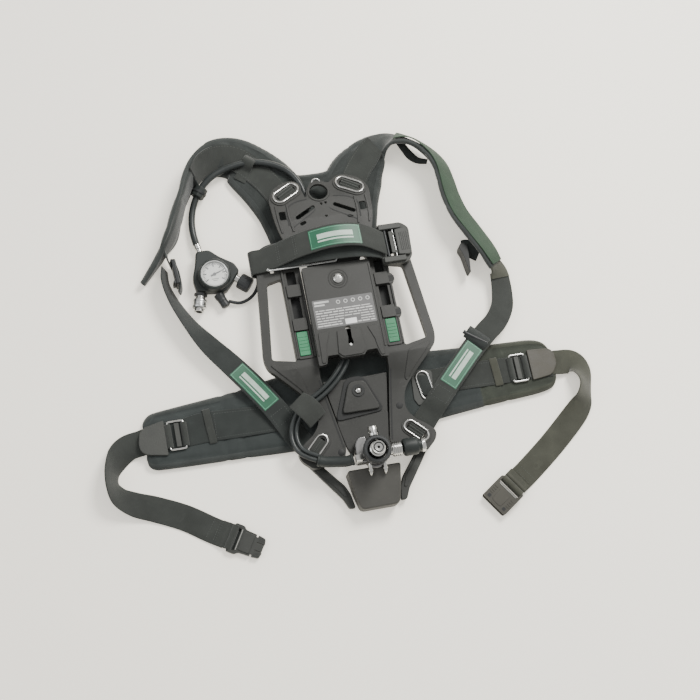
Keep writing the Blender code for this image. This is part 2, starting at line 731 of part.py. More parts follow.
def belt_buckles(plastic):
    spot = buckle_frame((-254, -208), (0.85, -0.52))
    fork = [
        (0, -25),
        (12, -25),
        (18, -20),
        (50, -19),
        (58, -13),
        (57, -8),
        (26, -8),
        (26, -4),
        (56, -4),
        (56, 4),
        (26, 4),
        (26, 8),
        (57, 8),
        (58, 13),
        (50, 19),
        (18, 20),
        (12, 25),
        (0, 25),
    ]
    eye = [spot(u, v) for u, v in rectangle(4, -20, 9, 20)]
    flat("male_buckle", plastic, [spot(u, v) for u, v in fork], 1, 9, [eye])
    spot = buckle_frame((236, -206), (-0.83, -0.56))
    body = [spot(u, v) for u, v in rounded(rectangle(0, -25.5, 50, 25.5), 5)]
    eye = [spot(u, v) for u, v in rectangle(5, -21, 11, 21)]
    female = flat("female_buckle", plastic, body, 0.6, 15, [eye])
    mouth = flat("mouth", plastic, [spot(u, v) for u, v in rectangle(18, -20.5, 60, 20.5)], 3.2, 12.2)
    cut(female, mouth)


def build():
    clear_scene()
    plate = finish("plate plastic", (0.085, 0.087, 0.083), 0.55)
    dark = finish("dark plastic", (0.03, 0.031, 0.033), 0.5)
    rubber = finish("black rubber", (0.018, 0.019, 0.021), 0.45)
    webbing = finish("woven webbing", (0.035, 0.042, 0.042), 0.85)
    fabric = finish("padded fabric", (0.022, 0.03, 0.034), 0.9)
    leather = finish("coated tab", (0.06, 0.062, 0.058), 0.7)
    chrome = finish("chrome", (0.8, 0.8, 0.82), 0.15, 1)
    steel = finish("brushed steel", (0.6, 0.6, 0.6), 0.3, 1)
    body = finish("reducer metal", (0.12, 0.12, 0.12), 0.35, 0.8)
    green = finish("green plastic", (0.08, 0.36, 0.2), 0.45)
    white = finish("dial face", (0.85, 0.85, 0.82), 0.5)
    orange = finish("needle", (0.02, 0.02, 0.02), 0.5)
    clear = finish("lens", (0.9, 0.92, 0.95), 0.05)

    lower_frame(plate)
    lumbar_panel(plate, plate)
    fasteners(chrome, steel)
    yoke(plate)
    back_cover(plate)
    rings(chrome)
    latches(green)
    guard(dark)
    reducer(body, chrome, dark)
    lower_hoses(rubber)
    cylinder_strap(webbing, chrome, dark)
    shoulder_pads(fabric)
    pull_straps(webbing, dark)
    gauge_line(rubber, chrome, dark, clear, white, orange)
    gauge_fittings(rubber, chrome, dark)
    hose_clip(rubber)
    hip_belt(fabric, webbing, leather)
    waist_adjusters(steel)
    belt_buckles(dark)


build()
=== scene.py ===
"""The looks of a breathing apparatus carrier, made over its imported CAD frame.

Lengths in the lists below are millimetres, in the frame's own axes: +Y runs up the plate towards the
shoulders, +X to its right seen from above, +Z up from the surface that it lies on.
"""

import math
import random

import bmesh
import bpy
from mathutils import Matrix, Vector


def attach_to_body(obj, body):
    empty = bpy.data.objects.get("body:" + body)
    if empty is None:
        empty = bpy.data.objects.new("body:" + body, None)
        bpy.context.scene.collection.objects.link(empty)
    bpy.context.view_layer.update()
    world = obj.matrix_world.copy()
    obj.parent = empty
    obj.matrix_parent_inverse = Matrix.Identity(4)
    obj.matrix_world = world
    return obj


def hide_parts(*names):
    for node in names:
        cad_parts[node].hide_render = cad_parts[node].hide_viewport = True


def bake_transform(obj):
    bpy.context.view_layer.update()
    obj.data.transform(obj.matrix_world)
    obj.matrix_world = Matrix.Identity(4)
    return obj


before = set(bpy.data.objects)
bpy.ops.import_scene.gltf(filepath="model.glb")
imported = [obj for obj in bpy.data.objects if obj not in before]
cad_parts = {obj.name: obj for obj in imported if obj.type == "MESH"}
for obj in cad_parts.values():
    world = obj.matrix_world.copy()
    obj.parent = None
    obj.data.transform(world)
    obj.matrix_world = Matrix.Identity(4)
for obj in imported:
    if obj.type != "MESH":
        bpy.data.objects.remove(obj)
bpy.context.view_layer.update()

MM = 0.001
SEED = 7
FRAME, UPPER, BELT = "carrier_frame", "upper_plate", "hip_belt"
SIDES = (("left", -1), ("right", 1))

# Heights along the plate, as (y, z) corners of its side view.
FRAME_OVER = [(-140, 32), (-70, 32), (5, 37), (48, 48), (320, 48)]
FRAME_UNDER = [(-140, 18), (-70, 18), (5, 25), (48, 32), (320, 32)]
PANEL_OVER = [(-140, 27), (-70, 27), (5, 32), (40, 34)]
PANEL_UNDER = [(-140, 19), (-70, 19), (5, 24), (40, 26)]
YOKE_OVER = [(100, 55), (312, 55), (350, 48), (400, 34)]
YOKE_UNDER = [(100, 49.5), (312, 49.5), (350, 42.5), (400, 28)]
COVER_OVER = [(30, 62), (80, 64), (230, 64)]
COVER_UNDER = [(30, 50), (119, 50), (121, 55.4), (230, 55.4)]

REDUCER = (4, -119)
REDUCER_BASE = 30
REDUCER_TOP = 76
OUTLET_Z = 60
GAUGE = (-206, 242)
HIP_PAD_HEIGHT = 14
SWELL_FRAMES = 14
WAIST_ADJUSTERS = {"left": (-314.5, -25), "right": (292, -5)}

# The photograph's view.
VIEW_TARGET = (6.8, 79.6, 0)
VIEW_AZIMUTH = -32.2
VIEW_ELEVATION = 72
VIEW_ROLL = 22
VIEW_DISTANCE = 2.4
VIEW_LENS = 70.5

# Light: the world's strength, the lamps' power in watts, and how much the pale floor glows.
WORLD_STRENGTH = 0.8
KEY_POWER = 112
FILL_POWER = 16
FLOOR_GLOW = 0.6


# ---------------------------------------------------------------- materials


def node(tree, kind, inputs=None, **settings):
    """A shader node; its inputs are values, or sockets of other nodes to link from."""
    made = tree.nodes.new("ShaderNode" + kind)
    for key, value in settings.items():
        setattr(made, key, value)
    for key, value in (inputs or {}).items():
        if isinstance(value, bpy.types.NodeSocket):
            tree.links.new(value, made.inputs[key])
        else:
            made.inputs[key].default_value = value
    return made


def new_finish(name, colour, roughness, **sockets):
    """A material with its tree and shader; further sockets are set by name."""
    material = bpy.data.materials.new(name)
    material.use_nodes = True
    tree = material.node_tree
    shader = tree.nodes["Principled BSDF"]
    shader.inputs["Base Color"].default_value = (*colour, 1)
    shader.inputs["Roughness"].default_value = roughness
    for key, value in sockets.items():
        shader.inputs[key.replace("_", " ")].default_value = value
    return material, tree, shader


def noise(tree, where, scale, detail=2.0, twist=0.0):
    """A noise value over the given coordinates."""
    inputs = {"Vector": where, "Scale": scale, "Detail": detail, "Distortion": twist}
    return node(tree, "TexNoise", inputs).outputs["Fac"]


def spread(tree, value, low, high, to_low=0.0, to_high=1.0):
    """Maps a value from one range to another, clamped."""
    inputs = {"Value": value, "From Min": low, "From Max": high, "To Min": to_low, "To Max": to_high}
    return node(tree, "MapRange", inputs).outputs["Result"]


def mix(tree, factor, first, second):
    """Mixes two colours, each a socket or three numbers."""
    inputs = {0: factor}
    for index, value in ((6, first), (7, second)):
        inputs[index] = value if isinstance(value, bpy.types.NodeSocket) else (*value, 1)
    return node(tree, "Mix", inputs, data_type="RGBA").outputs[2]


def maths(tree, operation, first, second=0.0):
    """One arithmetic step between values or sockets."""
    return node(tree, "Math", {0: first, 1: second}, operation=operation).outputs[0]


def relief(tree, shader, height, depth, strength=1.0):
    """Fine surface relief, too small to be worth geometry."""
    inputs = {"Height": height, "Distance": depth, "Strength": strength}
    tree.links.new(node(tree, "Bump", inputs).outputs["Normal"], shader.inputs["Normal"])


def times(colour, factor):
    """The colour scaled, each channel at most 1."""
    return tuple(min(channel * factor, 1.0) for channel in colour)


def moulded(name, colour, roughness=0.5, grain=0.5, wear=0.25):
    """Moulded plastic or rubber: a fine grain, a cloudy tone, and pale scuffs where it has been rubbed."""
    material, tree, shader = new_finish(name, colour, roughness)
    shader.inputs["Specular IOR Level"].default_value = 0.32
    where = node(tree, "TexCoord").outputs["Object"]
    cloud = noise(tree, where, 18, 4)
    scuff = spread(tree, noise(tree, where, 95, 6, 1.5), 0.6, 0.74, 0, wear)
    base = mix(tree, spread(tree, cloud, 0.3, 0.7), times(colour, 0.84), times(colour, 1.16))
    base = mix(tree, scuff, base, times(colour, 1.9))
    tree.links.new(base, shader.inputs["Base Color"])
    rough = spread(tree, cloud, 0.3, 0.7, roughness - 0.07, roughness + 0.07)
    tree.links.new(maths(tree, "ADD", rough, maths(tree, "MULTIPLY", scuff, 0.2)), shader.inputs["Roughness"])
    relief(tree, shader, noise(tree, where, 1100, 2), 0.0002, grain)
    return material


def woven(
    name, colour, pitch=1.5, depth=0.3, contrast=0.45, sheen=0.25, pale=1.6, tint=None, tinted_from=0.0
):
    """Cloth woven along its own UV, in metres: ribs across it, columns along it, worn a little pale."""
    material, tree, shader = new_finish(name, colour, 0.85, Sheen_Weight=sheen, Sheen_Roughness=0.5)
    shader.inputs["Specular IOR Level"].default_value = 0.25
    across = node(tree, "TexCoord").outputs["UV"]
    where = node(tree, "TexCoord").outputs["Object"]
    scale = 0.314 / (pitch * MM)
    wave = {"Vector": across, "Distortion": 0.4, "Detail": 1.0, "Detail Scale": 2.0}
    ribs = node(tree, "TexWave", {**wave, "Scale": scale}, bands_direction="Y").outputs["Fac"]
    columns = node(tree, "TexWave", {**wave, "Scale": scale * 0.8}, bands_direction="X").outputs["Fac"]
    weave = maths(tree, "MULTIPLY", ribs, spread(tree, columns, 0, 1, 0.45, 1))
    cloud = spread(tree, noise(tree, where, 30, 5), 0.3, 0.7)
    fuzz = spread(tree, noise(tree, where, 900, 3), 0.3, 0.7)
    rub = spread(tree, noise(tree, where, 60, 5, 1.0), 0.56, 0.78)
    base = mix(tree, cloud, times(colour, 0.82), times(colour, 1.18))
    base = mix(tree, maths(tree, "MULTIPLY", rub, 0.4), base, times(colour, pale))
    dark = maths(tree, "MULTIPLY", maths(tree, "SUBTRACT", 1.0, weave), contrast)
    base = mix(tree, dark, base, times(colour, 0.35))
    if tint:
        side = node(tree, "SeparateXYZ", {0: where}).outputs["X"]
        factor = spread(tree, side, tinted_from * MM, (tinted_from + 3) * MM)
        multiply = {0: factor, 6: base, 7: (*tint, 1)}
        base = node(tree, "Mix", multiply, data_type="RGBA", blend_type="MULTIPLY").outputs[2]
    tree.links.new(base, shader.inputs["Base Color"])
    height = maths(tree, "ADD", weave, maths(tree, "MULTIPLY", fuzz, 0.35))
    relief(tree, shader, height, depth * MM, 0.7)
    return material


def coated(name, colour):
    """A coated fabric tab with a leather-like pebble."""
    material, tree, shader = new_finish(name, colour, 0.6)
    where = node(tree, "TexCoord").outputs["Object"]
    pebble = node(tree, "TexVoronoi", {"Vector": where, "Scale": 700.0}).outputs["Distance"]
    cloud = spread(tree, noise(tree, where, 45, 5), 0.3, 0.7)
    base = mix(tree, cloud, times(colour, 0.8), times(colour, 1.25))
    base = mix(tree, spread(tree, pebble, 0.0, 0.6, 0.35, 0), base, times(colour, 0.5))
    tree.links.new(base, shader.inputs["Base Color"])
    tree.links.new(spread(tree, cloud, 0, 1, 0.5, 0.7), shader.inputs["Roughness"])
    relief(tree, shader, pebble, 0.00025, 0.6)
    return material


def plated(name, colour, roughness, brushed=0.0):
    """Bare or plated metal, with faint smears and, if brushed, fine turned lines."""
    material, tree, shader = new_finish(name, colour, roughness, Metallic=1.0)
    where = node(tree, "TexCoord").outputs["Object"]
    smear = noise(tree, where, 55, 5, 0.8)
    base = mix(tree, spread(tree, smear, 0.35, 0.7), colour, times(colour, 0.78))
    tree.links.new(base, shader.inputs["Base Color"])
    rough = spread(tree, smear, 0.3, 0.7, roughness * 0.7, roughness * 1.5)
    tree.links.new(rough, shader.inputs["Roughness"])
    stretched = node(tree, "Mapping", {"Vector": where, "Scale": (60, 1800, 1800)}).outputs["Vector"]
    lines = noise(tree, stretched, 1.0, 2)
    relief(tree, shader, lines, 0.00005, brushed)
    return material


def printed(name, colour, roughness=0.45):
    """A printed or woven label: nearly even in tone, with a little soiling."""
    material, tree, shader = new_finish(name, colour, roughness)
    where = node(tree, "TexCoord").outputs["Object"]
    soil = spread(tree, noise(tree, where, 70, 5), 0.4, 0.75)
    tree.links.new(mix(tree, soil, colour, times(colour, 0.82)), shader.inputs["Base Color"])
    relief(tree, shader, noise(tree, where, 1400, 2), 0.00008, 0.4)
    return material


def clear_lens(name):
    """A clear window with a slight haze."""
    material, tree, shader = new_finish(name, (0.9, 0.93, 0.95), 0.04, Alpha=0.1)
    where = node(tree, "TexCoord").outputs["Object"]
    haze = spread(tree, noise(tree, where, 120, 4), 0.4, 0.8, 0.02, 0.14)
    tree.links.new(haze, shader.inputs["Roughness"])
    return material


def floor_finish(name, colour):
    """A pale floor with painted light: brighter towards +X, where the key light is, and glowing."""
    material, tree, shader = new_finish(name, colour, 0.9)
    shader.inputs["Specular IOR Level"].default_value = 0.1
    where = node(tree, "TexCoord").outputs["Object"]
    side = node(tree, "SeparateXYZ", {0: where}).outputs["X"]
    # Painted light: the floor grows brighter towards +X.
    tone = spread(tree, side, -0.6, 0.6)
    base = mix(tree, tone, times(colour, 0.9), times(colour, 1.03))
    # Painted light: the floor's colour also glows.
    for socket in ("Base Color", "Emission Color"):
        tree.links.new(base, shader.inputs[socket])
    shader.inputs["Emission Strength"].default_value = FLOOR_GLOW
    return material


PLATE = moulded("plate plastic", (0.027, 0.0275, 0.0255), 0.48, 0.6, 0.4)
# Darker plastic: mostly painted shade in recesses, slits, pits, grooves and holes; also a few small parts'
# colour.
DARK_PLATE = moulded("dark plastic and painted recess shade", (0.016, 0.017, 0.017), 0.6, 0.5, 0.1)
BLACK = moulded("black plastic", (0.024, 0.026, 0.027), 0.42, 0.45, 0.2)
GREY_BLACK = moulded("buckle plastic", (0.034, 0.036, 0.033), 0.48, 0.4, 0.25)
OLIVE_BLACK = moulded("warm buckle plastic", (0.05, 0.048, 0.039), 0.5, 0.4, 0.22)
BUMPER = moulded("bumper rubber", (0.052, 0.051, 0.046), 0.52, 0.5, 0.25)
RUBBER = moulded("black rubber", (0.02, 0.022, 0.024), 0.36, 0.2, 0.08)
SOFT_RUBBER = moulded("soft rubber", (0.019, 0.023, 0.022), 0.5, 0.4, 0.15)
HOSE = moulded("hose rubber", (0.026, 0.03, 0.03), 0.33, 0.25, 0.12)
GREEN = moulded("green plastic", (0.042, 0.205, 0.1), 0.42, 0.35, 0.12)
WEBBING = woven("dark webbing", (0.038, 0.042, 0.038), 1.5, 0.35, 0.55)
WEBBING_DEEP = woven("deep webbing", (0.028, 0.033, 0.031), 1.5, 0.35, 0.55)
WEBBING_OLIVE = woven("olive webbing", (0.064, 0.066, 0.05), 1.5, 0.35, 0.5)
PAD_CLOTH = woven("pad cloth", (0.027, 0.032, 0.03), 0.9, 0.25, 0.4, 0.35, 1.9)
HIP_CLOTH = woven("hip pad cloth", (0.034, 0.041, 0.04), 0.9, 0.25, 0.4, 0.25, 1.9, (1.2, 1.14, 0.9), 216)
PAD_GREEN = woven("green-grey pad cloth", (0.03, 0.058, 0.034), 0.9, 0.2, 0.35, 0.12, 1.4)
BINDING = woven("edge binding", (0.04, 0.046, 0.044), 1.0, 0.25, 0.45, 0.3)
HIP_BINDING = woven(
    "hip pad binding", (0.042, 0.048, 0.046), 1.0, 0.25, 0.45, 0.2, 1.6, (1.2, 1.14, 0.9), 216
)
# Painted highlight: pale lines along the buckles' bar edges.
EDGE_HIGHLIGHT = moulded("painted edge highlight", (0.3, 0.3, 0.28), 0.4, 0.2, 0.1)
THREAD = printed("sewing thread", (0.075, 0.082, 0.078), 0.7)
TAB = coated("coated tab", (0.036, 0.038, 0.034))
TAB_WARM = coated("warm coated tab", (0.05, 0.046, 0.035))
CHROME = plated("chrome", (0.6, 0.6, 0.58), 0.14)
STEEL = plated("brushed steel", (0.6, 0.61, 0.6), 0.28, 0.5)
DARK_METAL = plated("dark plated metal", (0.2, 0.2, 0.2), 0.32, 0.2)
LABEL_GREEN = printed("green label", (0.008, 0.09, 0.043))
LABEL_EDGE = printed("label border", (0.1, 0.3, 0.19))
LABEL_PALE = printed("label print", (0.42, 0.52, 0.45))
DATA_PLATE = printed("data label", (0.1, 0.1, 0.1))
DATA_PRINT = printed("data print", (0.5, 0.5, 0.49))
DATA_WHITE = printed("data blank", (0.8, 0.8, 0.79))
DIAL = printed("dial face", (0.72, 0.72, 0.68))
INK = printed("dial ink", (0.03, 0.03, 0.03))
LENS = clear_lens("gauge lens")
FLOOR = floor_finish("pale floor", (0.98, 0.935, 0.84))

# What several pieces share: their finish, the body they ride on and the slot they fill.
FRAME_CHROME = (CHROME, FRAME, "chrome")
FRAME_PLATE = (PLATE, FRAME, "plate_plastic")
FRAME_SHADOW = (DARK_PLATE, FRAME, "plate_plastic")
UPPER_CHROME = (CHROME, UPPER, "chrome")
UPPER_PLATE = (PLATE, UPPER, "plate_plastic")


# ---------------------------------------------------------------- shapes


def level(y, knots):
    """Height at y along a side view given by its corners."""
    if y <= knots[0][0]:
        return knots[0][1]
    for (y0, z0), (y1, z1) in zip(knots, knots[1:]):
        if y <= y1:
            return z0 + (z1 - z0) * (y - y0) / (y1 - y0)
    return knots[-1][1]


def raised(knots, by):
    """The side view moved up."""
    return [(y, z + by) for y, z in knots]


def rounded(corners, radius, steps=6):
    """The outline with each corner eased into a curve; a corner's own third number replaces radius."""
    outline = []
    for index, corner in enumerate(corners):
        here = Vector(corner[:2])
        reach = corner[2] if len(corner) > 2 else radius
        if reach == 0:
            outline.append(tuple(here))
            continue
        before = Vector(corners[index - 1][:2]) - here
        after = Vector(corners[(index + 1) % len(corners)][:2]) - here
        start = here + before.normalized() * min(reach, before.length * 0.48)
        end = here + after.normalized() * min(reach, after.length * 0.48)
        for step in range(steps + 1):
            t = step / steps
            outline.append(tuple(start * (1 - t) ** 2 + here * 2 * t * (1 - t) + end * t * t))
    return outline


def both_sides(half):
    """A closed outline from its right half, listed from the top centre down to the bottom centre."""
    left = [(-corner[0], *corner[1:]) for corner in reversed(half) if corner[0] != 0]
    return half + left


def rectangle(x0, y0, x1, y1):
    """Corners of an upright rectangle."""
    return [(x0, y0), (x1, y0), (x1, y1), (x0, y1)]


def on_side(side, points):
    """The points as given for the right, or mirrored to the left if side is -1."""
    return [(side * x, y) for x, y in points]


def turned_by(centre, degrees, points):
    """The points, given about the origin, turned and moved to the centre."""
    spin = Matrix.Rotation(math.radians(degrees), 2)
    return [tuple(Vector(centre[:2]) + spin @ Vector(point[:2])) for point in points]


def slot(centre, length, width, turn, steps=10):
    """A straight slot with round ends, its long axis turned by degrees from +X."""
    radius = width / 2
    points = []
    for end in (1, -1):
        for step in range(steps + 1):
            angle = math.pi * (step / steps - 0.5)
            x = end * (length / 2 - radius + radius * math.cos(angle))
            points.append((x, end * radius * math.sin(angle)))
    return turned_by(centre, turn, points)


def smooth(points, per_span):
    """A Catmull-Rom curve through the points, each a tuple of any length."""
    rows = [Vector(point) for point in points]
    rows = [rows[0] * 2 - rows[1], *rows, rows[-1] * 2 - rows[-2]]
    out = []
    for a, b, c, d in zip(rows, rows[1:], rows[2:], rows[3:]):
        for step in range(per_span):
            t = step / per_span
            rise = (c - a) * t
            bend = (a * 2 - b * 5 + c * 4 - d) * t**2
            twist = (b * 3 - a - c * 3 + d) * t**3
            out.append((b * 2 + rise + bend + twist) / 2)
    out.append(rows[-2])
    return out


def attach(obj, body, slot_name, replaced=()):
    """Rides on a body; given a (body, body, start, end) tuple it is only baked where it stands."""
    if isinstance(body, tuple):
        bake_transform(obj)
    else:
        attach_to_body(obj, body)
    if replaced:
        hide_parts(*([replaced] if isinstance(replaced, str) else replaced))
    return obj


def soften(obj, width, segments=2):
    """Rounds an object's sharp edges."""
    bevel = obj.modifiers.new("soft edges", "BEVEL")
    bevel.width = width * MM
    bevel.segments = segments
    bevel.limit_method = "ANGLE"
    bevel.angle_limit = math.radians(32)
    bevel.harden_normals = True


def emit(shape, name, material, crease=35):
    """Turns a bmesh in millimetres into an object at the origin."""
    bmesh.ops.remove_doubles(shape, verts=shape.verts, dist=0.001)
    bmesh.ops.recalc_face_normals(shape, faces=shape.faces)
    bmesh.ops.scale(shape, verts=shape.verts, vec=(MM, MM, MM))
    mesh = bpy.data.meshes.new(name)
    shape.to_mesh(mesh)
    shape.free()
    mesh.materials.append(material)
    mesh.shade_smooth()
    mesh.set_sharp_from_angle(angle=math.radians(crease))
    obj = bpy.data.objects.new(name, mesh)
    bpy.context.scene.collection.objects.link(obj)
    return obj


def mesh_of(curve):
    """The mesh that a curve makes, as a bmesh in millimetres."""
    guide = bpy.data.objects.new("guide", curve)
    bpy.context.scene.collection.objects.link(guide)
    graph = bpy.context.evaluated_depsgraph_get()
    mesh = bpy.data.meshes.new_from_object(guide.evaluated_get(graph))
    bpy.data.objects.remove(guide)
    bpy.data.curves.remove(curve)
    shape = bmesh.new()
    shape.from_mesh(mesh)
    bpy.data.meshes.remove(mesh)
    bmesh.ops.scale(shape, verts=shape.verts, vec=(1 / MM, 1 / MM, 1 / MM))
    bmesh.ops.remove_doubles(shape, verts=shape.verts, dist=0.001)
    return shape


def slab(outline, low, high, holes=()):
    """A flat outline with its holes, filled between two heights."""
    curve = bpy.data.curves.new("outline", "CURVE")
    curve.dimensions = "2D"
    curve.fill_mode = "BOTH"
    curve.extrude = (high - low) / 2 * MM
    for loop in (outline, *holes):
        spline = curve.splines.new("POLY")
        spline.points.add(len(loop) - 1)
        spline.use_cyclic_u = True
        for point, corner in zip(spline.points, loop):
            point.co = (corner[0] * MM, corner[1] * MM, 0, 1)
    shape = mesh_of(curve)
    bmesh.ops.translate(shape, verts=shape.verts, vec=(0, 0, (high + low) / 2))
    bmesh.ops.dissolve_limit(shape, angle_limit=0.002, verts=shape.verts, edges=shape.edges)
    return shape


def prism(shape, low, high, base=True):
    """Adds walls and a top between two loops of corners, and a base where it can show."""
    low, high = ([shape.verts.new(corner) for corner in loop] for loop in (low, high))
    shape.faces.new(high)
    if base:
        shape.faces.new(low[::-1])
    for index in range(len(low)):
        nxt = (index + 1) % len(low)
        shape.faces.new((low[index], low[nxt], high[nxt], high[index]))


def flat(name, material, body, slot_name, outline, low, high, holes=(), edge=0.0, replaced=()):
    """A flat piece of an outline between two heights."""
    obj = emit(slab(outline, low, high, holes), name, material)
    if edge:
        soften(obj, edge)
    return attach(obj, body, slot_name, replaced)


def contoured(name, material, body, slot_name, outline, over, under, holes=(), edge=0.0, replaced=()):
    """A flat outline whose two faces follow the side views over and under."""
    shape = slab(outline, 0, 1, holes)
    for y in sorted({knot[0] for knot in over + under}):
        geometry = [*shape.verts, *shape.edges, *shape.faces]
        bmesh.ops.bisect_plane(shape, geom=geometry, plane_co=(0, y, 0), plane_no=(0, 1, 0))
    for vertex in shape.verts:
        vertex.co.z = level(vertex.co.y, over if vertex.co.z > 0.5 else under)
    obj = emit(shape, name, material)
    if edge:
        soften(obj, edge)
    return attach(obj, body, slot_name, replaced)


def block(name, material, body, slot_name, centre, size, turn=0, edge=0.0, tilt=0, replaced=()):
    """A box, leaned about its own X and then turned about Z."""
    shape = bmesh.new()
    bmesh.ops.create_cube(shape, size=1)
    bmesh.ops.scale(shape, verts=shape.verts, vec=size)
    lean = Matrix.Rotation(math.radians(tilt), 3, "X")
    spin = Matrix.Rotation(math.radians(turn), 3, "Z") @ lean
    bmesh.ops.rotate(shape, verts=shape.verts, matrix=spin)
    bmesh.ops.translate(shape, verts=shape.verts, vec=centre)
    obj = emit(shape, name, material)
    if edge:
        soften(obj, edge, 3)
    return attach(obj, body, slot_name, replaced)


def turned(
    name, material, body, slot_name, profile, at, way=(0, 0, 1), steps=48, ring=False, edge=0.0,
    replaced=(),
):
    """A profile of (radius, distance along way) points turned about way, starting at a point."""
    shape = bmesh.new()
    corners = [shape.verts.new((radius, 0, height)) for radius, height in profile]
    pairs = list(zip(corners, corners[1:])) + ([(corners[-1], corners[0])] if ring else [])
    edges = [shape.edges.new(pair) for pair in pairs]
    bmesh.ops.spin(
        shape, geom=[*corners, *edges], cent=(0, 0, 0), axis=(0, 0, 1), angle=math.tau, steps=steps,
        use_merge=True
    )
    spin = Vector(way).to_track_quat("Z", "Y").to_matrix()
    bmesh.ops.rotate(shape, verts=shape.verts, matrix=spin)
    bmesh.ops.translate(shape, verts=shape.verts, vec=at)
    obj = emit(shape, name, material, 28)
    if edge:
        soften(obj, edge)
    return attach(obj, body, slot_name, replaced)


def tube(name, material, body, slot_name, route, radius, per_span=5, sides=5, closed=False, replaced=()):
    """A round wire or hose along a route of points."""
    curve = bpy.data.curves.new(name, "CURVE")
    curve.dimensions = "3D"
    curve.bevel_depth = radius * MM
    curve.bevel_resolution = sides
    curve.use_fill_caps = True
    points = route if closed else smooth(route, per_span)
    spline = curve.splines.new("POLY")
    spline.points.add(len(points) - 1)
    spline.use_cyclic_u = closed
    for point, place in zip(spline.points, points):
        point.co = (*(Vector(place) * MM), 1)
    obj = emit(mesh_of(curve), name, material, 50)
    return attach(obj, body, slot_name, replaced)


# ---------------------------------------------------------------- straps


def strap_line(stations, per_span=6, across=None):
    """Rows of (centre, along, side, normal, half width, distance run) along a strap."""
    rows = smooth(stations, per_span)
    line = []
    run = 0.0
    for index, row in enumerate(rows):
        centre = Vector(row[:3])
        ahead = Vector(rows[min(index + 1, len(rows) - 1)][:3])
        behind = Vector(rows[max(index - 1, 0)][:3])
        along = (ahead - behind).normalized()
        side = (Vector(across) if across else along.cross(Vector((0, 0, 1)))).normalized()
        side = Matrix.Rotation(math.radians(-row[4]), 3, along) @ side
        if line:
            run += (centre - Vector(rows[index - 1][:3])).length
        line.append((centre, along, side, side.cross(along).normalized(), row[3] / 2, run))
    return line


def on_strap(line, run, across, lift):
    """The point at a distance along a strap, a distance across it, and a height over its middle."""
    for near, far in zip(line, line[1:]):
        if run <= far[5] or far is line[-1]:
            t = (run - near[5]) / (far[5] - near[5])
            centre, side, normal = (near[i].lerp(far[i], t) for i in (0, 2, 3))
            return centre + side.normalized() * across + normal.normalized() * lift
    return line[-1][0]


def webbing_section(half, thickness):
    """A flat woven tape with slightly thinner selvedges."""
    rise = thickness / 2
    edge = [(half - 1.6, rise), (half - 0.5, rise * 0.8), (half, rise * 0.25)]
    upper = [(-u, v) for u, v in reversed(edge)] + [(-half * 0.33, rise), (half * 0.33, rise)] + edge
    return upper + [(u, -v) for u, v in reversed(upper)]


def pad_section(half, thickness, points=11):
    """A crowned pad: flat in the middle, easing down to a soft rounded rim."""
    rise = thickness / 2
    upper = []
    for index in range(points):
        u = -1 + 2 * index / (points - 1)
        u = math.copysign(abs(u) ** 0.8, u)
        upper.append((u * half, rise * (1 - abs(u) ** 6) ** 0.5 * 0.96 + rise * 0.04))
    return upper + [(u, -v) for u, v in reversed(upper)]


def skin(shape, rings, place, closed=True):
    """Faces between neighbouring rings, caps on a closed form, and each vertex's place as its UV."""
    uv = shape.loops.layers.uv.new("UVMap")
    span = len(rings[0]) if closed else len(rings[0]) - 1
    for lower, upper in zip(rings, rings[1:]):
        for index in range(span):
            nxt = (index + 1) % len(lower)
            shape.faces.new((lower[index], lower[nxt], upper[nxt], upper[index]))
    if closed:
        shape.faces.new(rings[0])
        shape.faces.new(rings[-1])
    for face in shape.faces:
        for loop in face.loops:
            loop[uv].uv = place[loop.vert]


def loft(line, section, floor=0.2):
    """A bmesh lofted along a strap, its UV in metres across and along. Rows that dip under the floor rise."""
    shape = bmesh.new()
    place = {}
    rings = []
    for centre, along, side, normal, half, run in line:
        offsets = section(half)
        ring = [centre + side * u + normal * v for u, v in offsets]
        lift = Vector((0, 0, max(floor - min(point.z for point in ring), 0)))
        ring = [shape.verts.new(point + lift) for point in ring]
        for vertex, (u, v) in zip(ring, offsets):
            place[vertex] = (u * MM, run * MM)
        rings.append(ring)
    skin(shape, rings, place)
    return shape, rings


def band(name, material, body, slot_name, line, thickness, replaced=()):
    """A length of webbing."""
    shape, _ = loft(line, lambda half: webbing_section(half, thickness))
    obj = emit(shape, name, material, 60)
    return attach(obj, body, slot_name, replaced)


def patch(name, material, body, slot_name, line, runs, across, lift, thickness):
    """A thin label or layer that follows part of a strap, between two runs and two distances across."""
    count = max(2, int(abs(runs[1] - runs[0]) / 4))
    rows = []
    for index in range(count + 1):
        run = runs[0] + (runs[1] - runs[0]) * index / count
        low, high = (on_strap(line, run, u, lift) for u in across)
        top_low, top_high = (on_strap(line, run, u, lift + thickness) for u in across)
        rows.append((low, high, top_high, top_low))
    shape = bmesh.new()
    rings = [[shape.verts.new(point) for point in row] for row in rows]
    step = (runs[1] - runs[0]) / count * MM
    place = {}
    for index, ring in enumerate(rings):
        for vertex, u in zip(ring, (across[0], across[1], across[1], across[0])):
            place[vertex] = (u * MM, index * step)
    skin(shape, rings, place)
    return attach(emit(shape, name, material, 60), body, slot_name)


def one_stitch(shape, corners, top, bottom):
    """A small four-sided spindle of thread."""
    around = [shape.verts.new(corner) for corner in corners]
    upper, under = shape.verts.new(top), shape.verts.new(bottom)
    for a, b in zip(around, around[1:] + around[:1]):
        shape.faces.new((a, b, upper))
        shape.faces.new((b, a, under))


